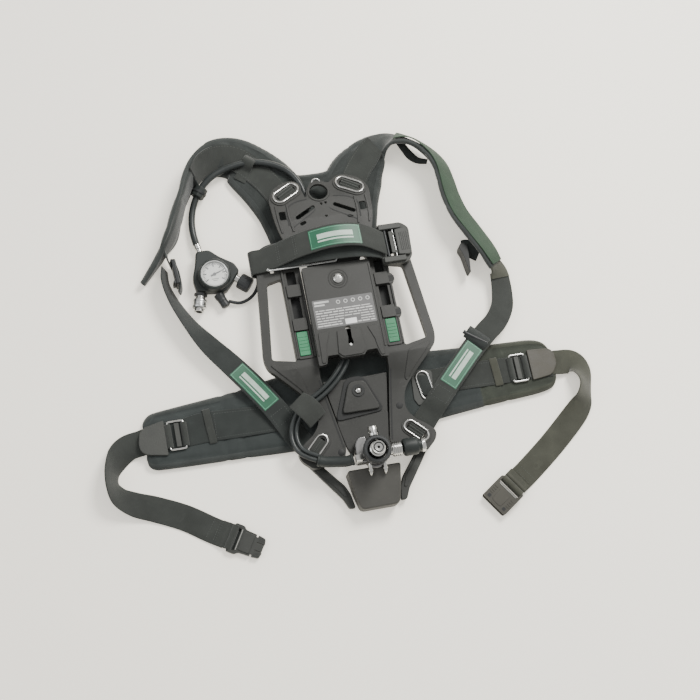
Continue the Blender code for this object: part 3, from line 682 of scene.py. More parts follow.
def stitches(name, body, slot_name, line, paths, lift, thread=THREAD, length=3.0, gap=1.4, width=0.7):
    """Rows of thread along paths of (run, across) corners on a strap, a stitch at a time."""
    shape = bmesh.new()
    for path in paths:
        for (run0, u0), (run1, u1) in zip(path, path[1:]):
            span = math.hypot(run1 - run0, u1 - u0)
            for index in range(max(1, int(span / (length + gap)))):
                low = index * (length + gap) / span
                high = min(low + length / span, 1)
                ends = [(run0 + (run1 - run0) * t, u0 + (u1 - u0) * t) for t in (low, high)]
                start, end = (on_strap(line, run, u, lift) for run, u in ends)
                (run_a, u_a), (run_b, u_b) = ends
                middle = on_strap(line, (run_a + run_b) / 2, (u_a + u_b) / 2, lift + 0.35)
                side = (end - start).cross(Vector((0, 0, 1)))
                side = side.normalized() * width / 2 if side.length else Vector((width / 2, 0, 0))
                bulge = middle - (start + end) / 2
                corners = (start, middle - side, end, middle + side)
                one_stitch(shape, corners, middle + bulge * 0.4, middle - bulge * 2)
    return attach(emit(shape, name, thread, 80), body, slot_name)


def generic_label(name, body, line, runs, across, lift):
    """A green woven label with a pale border and two plain bars in place of any mark."""
    patch(f"{name}_ground", LABEL_GREEN, body, "webbing", line, runs, across, lift, 0.5)
    (r0, r1), (u0, u1) = runs, across
    edges = {
        "start": ((r0 + 1.6, r0 + 2.4), (u0 + 1.5, u1 - 1.5)),
        "end": ((r1 - 2.4, r1 - 1.6), (u0 + 1.5, u1 - 1.5)),
        "low": ((r0 + 2.7, r1 - 2.7), (u0 + 1.6, u0 + 2.4)),
        "high": ((r0 + 2.7, r1 - 2.7), (u1 - 2.4, u1 - 1.6)),
    }
    for edge, (along, over) in edges.items():
        patch(f"{name}_border_{edge}", LABEL_EDGE, body, "webbing", line, along, over, lift + 0.4, 0.35)
    width = u1 - u0
    for bar, (low, high) in {"wide": (0.3, 0.56), "thin": (0.64, 0.72)}.items():
        over = (u0 + width * low, u0 + width * high)
        patch(
            f"{name}_bar_{bar}", LABEL_PALE, body, "webbing", line, (r0 + 14, r1 - 14), over,
            lift + 0.4, 0.35,
        )


# ---------------------------------------------------------------- padded pieces


def inflate(obj, pressure, most):
    """Swells a closed shape with a cloth simulation, and keeps each point within a distance of its start."""
    cloth = obj.modifiers.new("filling", "CLOTH")
    settings = cloth.settings
    settings.quality = 4
    settings.mass = 0.2
    settings.tension_stiffness = 12
    settings.compression_stiffness = 12
    settings.bending_stiffness = 0.4
    settings.use_pressure = True
    settings.uniform_pressure_force = pressure
    settings.effector_weights.gravity = 0
    cloth.point_cache.frame_start = 1
    cloth.point_cache.frame_end = SWELL_FRAMES
    scene = bpy.context.scene
    for step in range(1, SWELL_FRAMES + 1):
        scene.frame_set(step)
    swollen = obj.evaluated_get(bpy.context.evaluated_depsgraph_get())
    moved = [vertex.co.copy() for vertex in swollen.to_mesh().vertices]
    swollen.to_mesh_clear()
    obj.modifiers.remove(cloth)
    scene.frame_set(1)
    for vertex, target in zip(obj.data.vertices, moved):
        shift = target - vertex.co
        if shift.length > most * MM:
            shift *= most * MM / shift.length
        vertex.co += shift


def seam_depth(run, across, seams, reach=3.6):
    """How deep the sewing draws a pad in at this spot: each seam is (depth, (run, across), (run, across))."""
    depth = 0.0
    for deep, start, end in seams:
        a = Vector(start)
        way = Vector(end) - a
        offset = Vector((run, across)) - a
        t = max(0, min(1, offset.dot(way) / way.length_squared))
        near = (offset - way * t).length
        depth = max(depth, deep * math.exp(-((near / reach) ** 2)))
    return depth


def pad(
    name, material, body, slot_name, stations, thickness, seams, per_span, across=None, swell=2.0,
    points=15, replaced=(),
):
    """A sewn pad: lofted thin, swollen by simulation, drawn in along its seams. Returns it and its line."""
    line = strap_line(stations, per_span, across)
    shape, rings = loft(line, lambda half: pad_section(max(half - 1.5, 1), thickness * 0.72, points), 1.6)
    for index, vertex in enumerate(vertex for ring in rings for vertex in ring):
        vertex.index = index
    shape.verts.sort()
    obj = emit(shape, name, material, 180)
    inflate(obj, 4.0, swell)
    size = len(rings[0])
    offsets = pad_section(1, 1, points)
    for index, vertex in enumerate(obj.data.vertices):
        row = line[index // size]
        u, v = offsets[index % size]
        depth = seam_depth(row[5], u * row[4], seams)
        vertex.co -= row[3] * math.copysign(depth * MM, v)
        vertex.co.z = max(vertex.co.z, 0.3 * MM)
    smooth_shape = obj.modifiers.new("smooth", "SUBSURF")
    smooth_shape.levels = smooth_shape.render_levels = 1
    attach(obj, body, slot_name, replaced)
    return obj, line, size


def binding(name, material, body, pad_obj, line, size, reach=3):
    """The tape folded over a pad's two long edges, laid on its own surface."""
    pad_obj.data.update()
    for tag, middle in (("a", 0), ("b", size // 2)):
        shape = bmesh.new()
        place = {}
        rings = []
        for row in range(len(line)):
            ring = []
            for step in range(-reach, reach):
                source = pad_obj.data.vertices[row * size + (middle + step) % size]
                lift = 0.9 if -reach < step < reach - 1 else 0.1
                vertex = shape.verts.new((source.co + source.normal * lift * MM) / MM)
                vertex.co.z = max(vertex.co.z, 0.2)
                place[vertex] = (step * 2.5 * MM, line[row][5] * MM)
                ring.append(vertex)
            rings.append(ring)
        skin(shape, rings, place, closed=False)
        attach(emit(shape, f"{name}_{tag}", material, 80), body, "padding")


# ---------------------------------------------------------------- back plate


def lower_frame():
    """The plate that carries everything: two handles, two rails, two lower limbs."""
    half = [
        (0, 278, 0),
        (112, 278, 14),
        (136, 262, 12),
        (136, 222, 0),
        (151, 74, 10),
        (147, 55, 10),
        (98, 7, 20),
        (80, -14, 14),
        (74, -46, 16),
        (90, -68, 12),
        (106, -78, 8),
        (121, -93, 9),
        (117, -108, 9),
        (98, -125, 8),
        (84, -123, 6),
        (44, -116, 6),
        (38, -98, 6),
        (60, 26, 0),
        (60, 60, 6),
        (0, 60, 0),
    ]
    holes = [rounded(rectangle(-60, 88, 60, 236), 6, 4)]
    grip = [(95, 212), (121, 206), (136.5, 69), (95, 60.5)]
    for side in (1, -1):
        windows = [rectangle(70, 197, 86, 222), rectangle(70, 136, 86, 174), rectangle(68, 68, 88, 112)]
        for corners, radius in ((grip, 5), (rectangle(104, 224, 112, 271), 2), *((w, 2) for w in windows)):
            holes.append(rounded(on_side(side, corners), radius, 4))
        holes.append(slot((side * 86, -88), 36, 10, -45 * side))
    outline = rounded(both_sides(half), 8)
    contoured("lower_frame_shell", *FRAME_PLATE, outline, FRAME_OVER, FRAME_UNDER, holes, 2.2, "lower_frame")


def rail_details():
    """Lips, cross blocks and latch surrounds on the two rails, and painted recess shade under their windows.
    """
    lips = {"inner_lip": (60.4, 64.4, 207, 53.5), "outer_lip": (91, 94.6, 232, 51)}
    for name, side in SIDES:
        for tag, (x0, x1, end, high) in lips.items():
            lip = rectangle(side * x0, 64, side * x1, end)
            flat(f"rail_{tag}_{name}", *FRAME_PLATE, rounded(lip, 1.2, 2), 47, high, edge=0.7)
        for tag, (low, high) in {"upper": (174.5, 196.5), "lower": (113, 135)}.items():
            cross = rectangle(side * 65.5, low, side * 90.4, high)
            flat(f"rail_block_{tag}_{name}", *FRAME_PLATE, rounded(cross, 2.5, 3), 47, 52.5, edge=1.1)
        surround = rectangle(side * 65.2, 63, side * 90.8, 112.6)
        opening = rounded(rectangle(side * 68.2, 67.5, side * 88, 112), 1.5, 3)
        flat(f"latch_surround_{name}", *FRAME_PLATE, rounded(surround, 3, 3), 47, 50.2, [opening], 0.6)
        # Painted shade: a dark floor under each rail's windows.
        floor = rectangle(side * 68, 130, side * 88, 226)
        flat(f"rail_recess_shade_{name}", *FRAME_SHADOW, rounded(floor, 2, 2), 33, 35, edge=0.4)
    for y, reach in ((183, 99), (121, 100)):
        knob = [(88, y - 9.5, 1), (reach, y - 9.5, 8), (reach, y + 9.5, 8), (88, y + 9.5, 1)]
        flat(f"rail_knob_{y}", *FRAME_PLATE, rounded(knob, 2, 6), 41, 51.5, edge=1.8)
        # Painted shade: a dark strip in each knob's slit.
        slit = rectangle(90, y - 5, 100, y + 5)
        flat(f"rail_knob_slit_shade_{y}", *FRAME_SHADOW, rounded(slit, 2, 4), 51.2, 52, edge=0.3)


def limb_details():
    """Raised borders and braces on the lower limbs, with painted shade in their grooves and holes."""
    for name, side in SIDES:
        rim_outer = slot((side * 86, -88), 56, 30, -45 * side, 12)
        rim_inner = slot((side * 86, -88), 37, 11, -45 * side, 12)
        over, under = raised(FRAME_OVER, 1.4), raised(FRAME_OVER, -1)
        contoured(f"ring_boss_{name}", *FRAME_PLATE, rim_outer, over, under, [rim_inner], 0.6)
        groove = [(61.5, 24), (64, 24), (43.5, -96), (41, -96)]
        points = on_side(side, groove)
        contoured(f"limb_groove_{name}", *FRAME_SHADOW, points, raised(FRAME_OVER, 0.35), under)
        brace = [(99, 52), (142, 62), (136, 54), (97, 14), (88, 0), (84, 6)]
        points = rounded(on_side(side, brace), 5, 4)
        contoured(f"limb_brace_{name}", *FRAME_PLATE, points, raised(FRAME_OVER, 1.6), under, (), 1.2)
    dimple = [(0, 0.5), (5, 0.5), (6, 0), (6, -1), (0, -1)]
    for tag, x, y in (("96", -48, -104), ("160", 66, -40)):
        top = (x, y, level(y, FRAME_OVER))
        turned(f"limb_hole_{tag}", *FRAME_SHADOW, dimple, top, steps=24)


def loop_tab(name, body, centre, turn, width, knots, rise):
    """Webbing that comes up through a slot and goes back down, seen as a ribbed hump inside the ring."""
    across = Matrix.Rotation(math.radians(turn), 2) @ Vector((0, 1))
    half = [(0, 2.2), (2.4, 0.5), (4.6, 1.5), (7, -0.4), (7.6, -4)]
    stations = []
    for offset, drop in [(-u, v) for u, v in reversed(half[1:])] + half:
        x, y = Vector(centre) + across * offset
        stations.append((x, y, level(centre[1], knots) + rise + drop, width, 0))
    turn_way = Matrix.Rotation(math.radians(turn), 2) @ Vector((1, 0))
    line = strap_line(stations, 4, across=(*turn_way, 0))
    band(name, WEBBING, body, "webbing", line, 1.6)


def ring_wire(name, body, centre, length, width, turn, knots, rise, replaced):
    """A bent wire ring that lies on a plate."""
    points = [(x, y, level(y, knots) + rise) for x, y in slot(centre, length, width, turn, 12)]
    tube(name, CHROME, body, "chrome", points, 1.9, sides=4, closed=True, replaced=replaced)


def strap_rings():
    """The four rings that the harness is threaded through, with their webbing."""
    for name, side in SIDES:
        upper = (side * 58, 370)
        lower = (side * 86, -88)
        ring_wire(
            f"upper_ring_wire_{name}", UPPER, upper, 50, 23, -30 * side, YOKE_OVER, 2.6,
            f"upper_ring_{name}",
        )
        ring_wire(
            f"lower_ring_wire_{name}", FRAME, lower, 46, 20, -45 * side, FRAME_OVER, 2.6,
            f"lower_ring_{name}",
        )
        loop_tab(f"upper_ring_tab_{name}", UPPER, upper, -30 * side, 33, YOKE_OVER, 0.6)
        loop_tab(f"lower_ring_tab_{name}", FRAME, lower, -45 * side, 29, FRAME_OVER, 0.6)


def lumbar():
    """The panel between the limbs, and the pivot that the hip belt turns on."""
    half = [(0, 20, 0), (57, 22, 3), (36, -98, 4), (30, -113, 6), (0, -113, 0)]
    shell = rounded(both_sides(half), 4)
    contoured("lumbar_shell", *FRAME_PLATE, shell, PANEL_OVER, PANEL_UNDER, (), 1.2, "lumbar_panel")
    seat = [
        (46, -44, 6), (37, -97, 4), (30, -111, 5), (-30, -111, 5), (-37, -97, 4), (-46, -50, 6),
        (-24, -52, 8), (20, -46, 8),
    ]
    under = raised(PANEL_OVER, -1)
    contoured("lumbar_seat", *FRAME_PLATE, rounded(seat, 5), raised(PANEL_OVER, 2), under, (), 1.2)
    groove = [(14, 22), (40, -43), (-47, -50), (-18, 22)]
    contoured("pivot_groove", *FRAME_SHADOW, rounded(groove, 12), raised(PANEL_OVER, 2.4), under, (), 0.6)
    boss = rounded(both_sides([(14, 14), (35, -40)]), 10)
    over, under = raised(PANEL_OVER, 7.4), raised(PANEL_OVER, 0.4)
    contoured("pivot_boss", *FRAME_PLATE, boss, over, under, (), 2.4, "pivot_cover")
    top = level(-4, PANEL_OVER) + 7.4
    washer = [(6.6, 0.9), (10.5, 0.9), (11, 0.2), (11, -0.6), (6.6, -0.6)]
    turned("pivot_washer", *FRAME_SHADOW, washer, (0, -4, top), ring=True)
    dome = [(0, 3.4), (2.0, 3.3), (4.2, 2.5), (5.6, 1.3), (6.2, 0), (0, 0)]
    turned("pivot_screw_head", *FRAME_CHROME, dome, (0, -4, top), steps=6, replaced="pivot_screw")


def oval_rim(name, centre, turn, outer, inner, rise):
    """A raised rim round an oval hole in the yoke."""
    ring = slot(centre, *outer, turn, 14)
    hole = slot(centre, *inner, turn, 12)
    contoured(name, *UPPER_PLATE, ring, raised(YOKE_OVER, rise), raised(YOKE_OVER, -1), [hole], 0.7)


def yoke():
    """The upper plate that the shoulder pads hang from."""
    lobe = [(36, 393, 8), (50, 396, 10), (76, 386, 13), (91, 364, 12)]
    leg = [(87, 306, 20), (74, 262, 20), (60, 240, 10), (46, 226, 6), (46, 124, 4)]
    right = [(9, 389, 5), (20, 380, 6), (28, 386, 5), *lobe, *leg]
    hose_notch = [(9, 389, 4), (15, 380, 3), (22, 368, 3), (22.5, 357, 1.5), (26, 356, 1.5), (29, 374, 4)]
    left = [(-x, y, radius) for x, y, radius in reversed([*hose_notch, *lobe, *leg])]
    outline = rounded(right + left, 8)
    contoured("yoke_shell", *UPPER_PLATE, outline, YOKE_OVER, YOKE_UNDER, yoke_holes(), 1.2, "yoke_plate")
    oval_rim("yoke_hole_rim", (0, 364), 0, (40.4, 40.2), (32.8, 32.6), 1.3)
    for name, side in SIDES:
        oval_rim(f"yoke_slot_rim_{name}", (side * 58, 370), -30 * side, (62, 35), (39, 12), 1.6)
        path = [(24, 352), (43, 349), (56, 343), (65, 331), (64, 304)]
        yoke_line(f"yoke_groove_{name}", DARK_PLATE, on_side(side, path), 2.2, 0.4)
        path = [(13, 329), (22, 321), (60, 298)]
        yoke_line(f"yoke_fan_edge_{name}", DARK_PLATE, on_side(side, path), 1.6, 0.4)
        for tag, x in (("outer", 81), ("inner", 61)):
            path = [(side * x, 346), (side * x, 318), (side * (x - 3), 292)]
            yoke_line(f"yoke_rib_{tag}_{name}", PLATE, path, 3, 1.8)
    loop = [(-8, 383, 34.5), (-7, 387, 37), (-3, 391, 38.4), (3, 391, 38.4), (7, 387, 37), (8, 383, 34.5)]
    tube("yoke_top_loop", STEEL, UPPER, "black_plastic", loop, 1.3)


def yoke_line(name, material, path, width, rise):
    """A line of even width along a path on the yoke: a rib, or a shadow line if it lies flush."""
    points = smooth([(*point, 0) for point in path], 4)
    left = shifted(points, width / 2)
    right = shifted(points, -width / 2)
    outline = [point[:2] for point in left + right[::-1]]
    contoured(name, material, UPPER, "plate_plastic", outline, raised(YOKE_OVER, rise), raised(YOKE_OVER, -1))


def yoke_holes():
    """The yoke's carrying hole, ring slots and lightening slots."""
    holes = [slot((0, 364), 32.2, 32, 0, 20), slot((4, 313), 5, 4, 0, 5)]
    holes += [slot((-31.5, 325.5), 42, 7.6, 29, 6), slot((39, 325.5), 42, 7.6, -30, 6)]
    for corners in ([(-3, 341), (3, 341), (0, 335)], [(5, 342), (11, 342), (8, 336)]):
        holes.append(rounded(corners, 1.2, 2))
    holes += [slot((-39, 305), 12, 6, 22, 6), slot((46, 306.5), 11, 5, -20, 6)]
    for side in (1, -1):
        holes.append(slot((side * 58, 370), 38, 11, -30 * side))
        holes.append(rounded(on_side(side, rectangle(66, 316, 78, 333)), 3, 3))
    return holes


def back_cover():
    """The cover over the length setting, with its tongue, arms and bolt."""
    half = [
        (0, 220, 0),
        (60, 220, 6),
        (61, 42, 4),
        (47, 44, 2),
        (43, 58, 2),
        (25, 58, 2),
        (20, 51, 3),
        (0, 51, 0),
    ]
    keyhole = rounded(rectangle(-4.5, 66, 4.5, 106), 4, 4)
    outline = rounded(both_sides(half), 4)
    contoured("cover_shell", *UPPER_PLATE, outline, COVER_OVER, COVER_UNDER, [keyhole], 1.6, "back_cover")
    slit = [(-4, 100, 1), (-3.2, 82, 1), (-5, 74, 3), (0, 68, 4), (5, 74, 3), (3.2, 82, 1), (4, 100, 1)]
    tongue = [(20, 99, 2), (24, 60, 2), (17, 53, 4), (-17, 53, 4), (-24, 60, 2), (-20, 99, 2)]
    over, under = raised(COVER_OVER, 2.2), raised(COVER_OVER, -1)
    contoured("cover_tongue", *UPPER_PLATE, rounded(tongue, 2), over, under, [rounded(slit, 1, 4)], 1.0)
    for name, side in SIDES:
        arm = [(33, 100), (53, 100), (55, 46), (48, 46), (44, 62), (42, 76)]
        points = rounded(on_side(side, arm), 2.5, 4)
        contoured(f"cover_arm_{name}", *UPPER_PLATE, points, raised(COVER_OVER, 1.4), under, (), 0.8)
        points = rounded(on_side(side, rectangle(56.4, 60, 59.6, 212)), 1, 2)
        contoured(f"cover_lip_{name}", *UPPER_PLATE, points, raised(COVER_OVER, 1.3), under, (), 0.5)
    for tag, outer in (("inner", 13), ("outer", 17.5)):
        ring = [
            (outer, 0.1), (outer - 0.5, 0.7), (outer - 1.3, 0.7), (outer - 1.8, 0.1),
            (outer - 1.8, -0.5), (outer, -0.5),
        ]
        turned(f"bolt_ring_{tag}", *UPPER_PLATE, ring, (0, 192, 64), ring=True)
    bolt = [(0, 3.4), (2.2, 3.4), (2.2, 3.5), (6.2, 3.3), (8.2, 1.9), (8.8, 0), (0, 0)]
    turned("cover_bolt_head", *UPPER_CHROME, bolt, (0, 192, 64.3), replaced="cover_bolt")
    # Painted shade: a dark sheet in the bolt head's slot.
    recess = slot((0, 192), 9, 2, 35, 3)
    flat("cover_bolt_slot_shade", DARK_METAL, UPPER, "chrome", recess, 67.5, 67.95)


def data_label():
    """A rating plate with plain bars for its print and plain discs for its symbols."""
    body = (UPPER, "plate_plastic")
    ground = rounded(rectangle(-53, 106, 53, 158), 2)
    flat("data_label_ground", DATA_PLATE, *body, ground, 63.6, 64.35, edge=0.15)
    rng = random.Random(SEED)
    strips = []
    for row in range(7):
        y = 109.5 + row * 4.6
        x = -50.0
        while x < 48:
            span = min(rng.uniform(5, 17), 50 - x)
            blocked = row < 3 and -2 < x + span and x < 19
            if not blocked:
                strips.append(rectangle(x, y, x + span, y + (2.2 if row in (0, 5) else 1.7)))
            x += span + rng.uniform(1.0, 2.2)
    strips += [rectangle(-50, 146.5, -32, 149.5), rectangle(-50, 151.5, -24, 155)]
    shape = bmesh.new()
    for strip in strips:
        prism(shape, [(*corner, 64.2) for corner in strip], [(*corner, 64.55) for corner in strip])
    attach(emit(shape, "data_label_print", DATA_PRINT), *body)
    flat("data_label_blank", DATA_WHITE, *body, rounded(rectangle(-2, 108.6, 18, 118), 0.6, 2), 64.2, 64.6)
    ring = [(3.6, 0.25), (3.6, -0.3), (2.3, -0.3), (2.3, 0.25)]
    for index in range(5):
        at = (-8 + index * 13, 150, 64.35)
        turned(f"data_label_disc_{index}", DATA_PRINT, *body, ring, at, steps=24, ring=True)


def latches():
    """The two ribbed buttons that free the length setting."""
    for name, side in SIDES:
        latch = f"latch_{name}"
        green = (GREEN, latch, "green_plastic")
        centre = (side * 78, 90, 43.5)
        block(f"latch_button_{name}", *green, centre, (19, 43, 13), edge=1.4, replaced=latch)
        for index in range(5):
            rib = (side * 78, 78 + index * 6, 50.2)
            block(f"latch_rib_{name}_{index}", *green, rib, (14, 1.8, 1), edge=0.4)


def guards():
    """The struts and the bumper that the cylinder's valve stands behind."""
    strut = [(118, -97), (103, -92), (50, -158), (43, -174), (39, -198), (50, -198), (58, -180), (85, -143)]
    rib = [(112, -100), (107, -97), (55, -160), (49, -176), (54, -177), (63, -163)]
    moulding = (GREY_BLACK, FRAME, "black_plastic")
    for name, side in SIDES:
        outline = rounded(on_side(side, strut), 4)
        flat(f"guard_strut_{name}", *moulding, outline, 5, 14.6, (), 2.2, f"guard_bar_{name}")
        flat(f"guard_rib_{name}", *moulding, rounded(on_side(side, rib), 2, 3), 13.5, 16, (), 0.8)
    over, under = [(-206, 33), (-138, 45)], [(-206, 5), (-138, 5)]
    half = [(46, -139, 5), (40, -178, 4), (33, -206, 8)]
    outline = rounded(both_sides(half), 5)
    contoured("bumper_block", BUMPER, FRAME, "black_plastic", outline, over, under, (), 4, "bumper")


# ---------------------------------------------------------------- pressure reducer and hoses


def reducer_core():
    """The cast body, and the inlet that the cylinder's valve screws to."""
    x, y = REDUCER
    top = (x, y, REDUCER_TOP + 0.4)
    body = [(0, 46), (15.5, 46), (16, 38), (19.2, 35), (20, 34), (20, 4), (18.6, 2), (18, 0), (0, 0)]
    foot = (x, y, REDUCER_BASE)
    turned("reducer_shell", DARK_METAL, FRAME, "reducer_metal", body, foot, replaced="reducer_body")
    spigot = [
        (0, 21), (2.4, 21), (2.4, 25.6), (6.6, 26), (7, 25.4), (7, 23.6), (8.8, 23.6), (8.8, 25.6),
        (10.6, 25.8), (11.4, 24.8), (11.4, 15), (13, 14), (15, 8), (16, 6), (16, 0), (0, 0),
    ]
    turned("inlet_nozzle", *FRAME_CHROME, spigot, top, replaced="inlet_spigot")
    groove = [(7.1, 24), (7.1, 23.7), (8.7, 23.7), (8.7, 24)]
    turned("inlet_seal", BLACK, FRAME, "chrome", groove, top, steps=32, ring=True)
    # Painted shade: a dark disc where the inlet's bore goes in.
    bore = [(0, 21.4), (2.3, 21.4), (2.3, 21.1), (0, 21.1)]
    turned("inlet_bore_shade", BLACK, FRAME, "chrome", bore, top, steps=24)
    shoulder = [(-29, -132), (-27, -98), (-20, -88), (-6, -88), (-6, -132)]
    flat("reducer_shoulder", DARK_METAL, FRAME, "reducer_metal", rounded(shoulder, 5), 34, 58, (), 2.4)


def hand_wheel():
    """A grooved wheel round the inlet."""
    x, y = REDUCER
    body = ("hand_wheel", "black_plastic")
    rim = [(18.6, 13.5), (21.4, 13.3), (23.2, 11.6), (23.6, 10), (23.6, 3.4), (22, 0.4)]
    rim += [(17.2, 0), (17.2, 12)]
    foot = (x, y, REDUCER_TOP + 1.2)
    turned("hand_wheel_rim", BLACK, *body, rim, foot, steps=72, ring=True, replaced="hand_wheel")
    for index in range(24):
        angle = math.tau * index / 24
        centre = (x + 23.2 * math.cos(angle), y + 23.2 * math.sin(angle), REDUCER_TOP + 7.6)
        size, turn = (2.0, 2.4, 7.6), math.degrees(angle)
        block(f"hand_wheel_rib_{index}", BLACK, *body, centre, size, turn, 0.7)


def reducer_plug():
    """The plug on the side that faces up the plate."""
    x, y = REDUCER
    start, way = (x + 3, y + 20.3, OUTLET_Z), (0, 1, 0)
    plug = [
        (0, 24), (2.6, 24), (2.6, 22.4), (6.8, 22.4), (6.8, 24), (7.6, 23.6), (8.2, 22), (8.2, 8),
        (6, 7), (6, 0), (0, 0),
    ]
    turned("reducer_plug", *FRAME_CHROME, plug, start, way, replaced="reducer_top_plug")
    collar = [(8.3, 18), (9.4, 17.4), (9.4, 12.6), (8.3, 12), (7.8, 12), (7.8, 18)]
    turned("reducer_plug_collar", *FRAME_CHROME, collar, start, way, steps=6, ring=True)


def outlet_side():
    """The outlet fitting, the alarm's rubber cover, and the nut of the hose on the other side."""
    x, y = REDUCER
    way = (1, 0, 0)
    fitting = [(0, 27), (8, 27), (9.4, 26), (11.5, 24), (11.5, 8), (9, 7), (9, 0), (0, 0)]
    turned("outlet_body", *FRAME_CHROME, fitting, (x + 20.4, y, OUTLET_Z), way, replaced="outlet_fitting")
    bead = [(12.6, 10.2), (12.6, 11.6), (11.8, 12.2), (11, 12.2), (11, 9.6), (11.8, 9.6)]
    for index in range(4):
        at = (x + 20.4 + index * 3.5, y, OUTLET_Z)
        turned(f"outlet_ring_{index}", *FRAME_CHROME, bead, at, way, ring=True)
    sleeve = [
        (0, 33), (9, 33), (10, 32), (11, 26), (13.4, 25), (14.4, 23.6), (15, 20), (15, 4),
        (14.4, 1.6), (13, 0), (0, 0),
    ]
    start = (x + 48, y, OUTLET_Z)
    turned("alarm_cover", SOFT_RUBBER, FRAME, "black_plastic", sleeve, start, way, replaced="alarm_sleeve")
    end = [
        (8.8, 31), (11.6, 31), (12.2, 32), (12.2, 36), (11.4, 37.4), (8.6, 37.4), (7.4, 36.4),
        (7.4, 33.1), (8.8, 33.1),
    ]
    turned("alarm_end_ring", *FRAME_CHROME, end, start, way, ring=True)
    nut = [(0, 14), (8.6, 14), (9.6, 13), (9.6, 4), (8.6, 3), (8, 0), (0, 0)]
    turned("boot_nut", *FRAME_CHROME, nut, (x - 20.2, y - 4, 54), (-1, 0, 0), steps=6, replaced="hose_nut")


def reducer_claws():
    """Two bent claws that hold the reducer to the bumper's edge, and the bar between them."""
    x, y = REDUCER
    for index, across in enumerate((-12, 13)):
        claw = [(x + across, y - back, z) for back, z in ((16, 56), (22, 55), (30, 51), (33, 47))]
        tube(f"reducer_claw_{index}", *FRAME_CHROME, claw, 3.2)
        tip = [(0, 5), (3.2, 4.6), (4.4, 3), (4.4, 0), (0, 0)]
        end, way = (x + across, y - 25, 52.5), (0, -0.9, -0.42)
        turned(f"reducer_claw_tip_{index}", *FRAME_CHROME, tip, end, way, steps=24)
    bridge = [(x - 14, y - 17, 50), (x, y - 21, 48), (x + 15, y - 17, 50)]
    tube("reducer_claw_bridge", DARK_METAL, FRAME, "reducer_metal", bridge, 4.2)


def shifted(route, by):
    """The route moved sideways in the plane it runs in."""
    out = []
    for index, point in enumerate(route):
        ahead = Vector(route[min(index + 1, len(route) - 1)])
        behind = Vector(route[max(index - 1, 0)])
        side = (ahead - behind).cross(Vector((0, 0, 1))).normalized()
        out.append(tuple(Vector(point) + side * by))
    return out


def lower_hoses():
    """The pair of hoses from the reducer up to the cover, their boot and the flap over them."""
    boot = [(-33, -123, 53.6), (-46, -124, 51), (-62, -121, 47), (-78, -118, 44.5), (-92, -113, 43)]
    tube("boot_sleeve", SOFT_RUBBER, FRAME, "black_rubber", boot, 9.2, replaced="hose_boot")
    for index, at in enumerate((0, len(boot) - 1)):
        near = Vector(boot[at])
        way = (Vector(boot[1]) - near if at == 0 else near - Vector(boot[-2])).normalized()
        bead = [(9.2, 2), (10, 1.4), (10, -1.4), (9.2, -2), (6, -2), (6, 2)]
        start = near - way * (2.4 if at else -2.4)
        turned(f"boot_bead_{index}", SOFT_RUBBER, FRAME, "black_rubber", bead, start, way, ring=True)
    hose = [
        (-93, -112.6, 43),
        (-108, -104, 41),
        (-120, -92, 38),
        (-126, -74, 35),
        (-125, -54, 33),
        (-117, -35, 35),
        (-104, -19, 39),
        (-90, -9, 42),
        (-74, -1, 43),
        (-58, 9, 43.2),
        (-43, 21, 43.2),
        (-30, 34, 42.6),
        (-20, 47, 42),
        (-15, 56, 41.5),
    ]
    tube("lower_hose_outer", HOSE, FRAME, "black_rubber", hose, 4.1, replaced="medium_pressure_hose")
    inner = shifted(hose, 8.5)
    inner[0] = (-88, -106, 44)
    tube("lower_hose_inner", HOSE, FRAME, "black_rubber", inner, 3.9)
    flap = [(-108, -4.5, 44, 36, 0), (-97, -17, 49.5, 40, 0), (-88, -29, 50, 40, 0), (-78, -44, 41, 38, 0)]
    line = strap_line(flap, 5, across=(0.80, 0.60, 0))
    band("hose_flap_cloth", WEBBING, FRAME, "plate_plastic", line, 2.4, "hose_flap")


# ---------------------------------------------------------------- cylinder strap


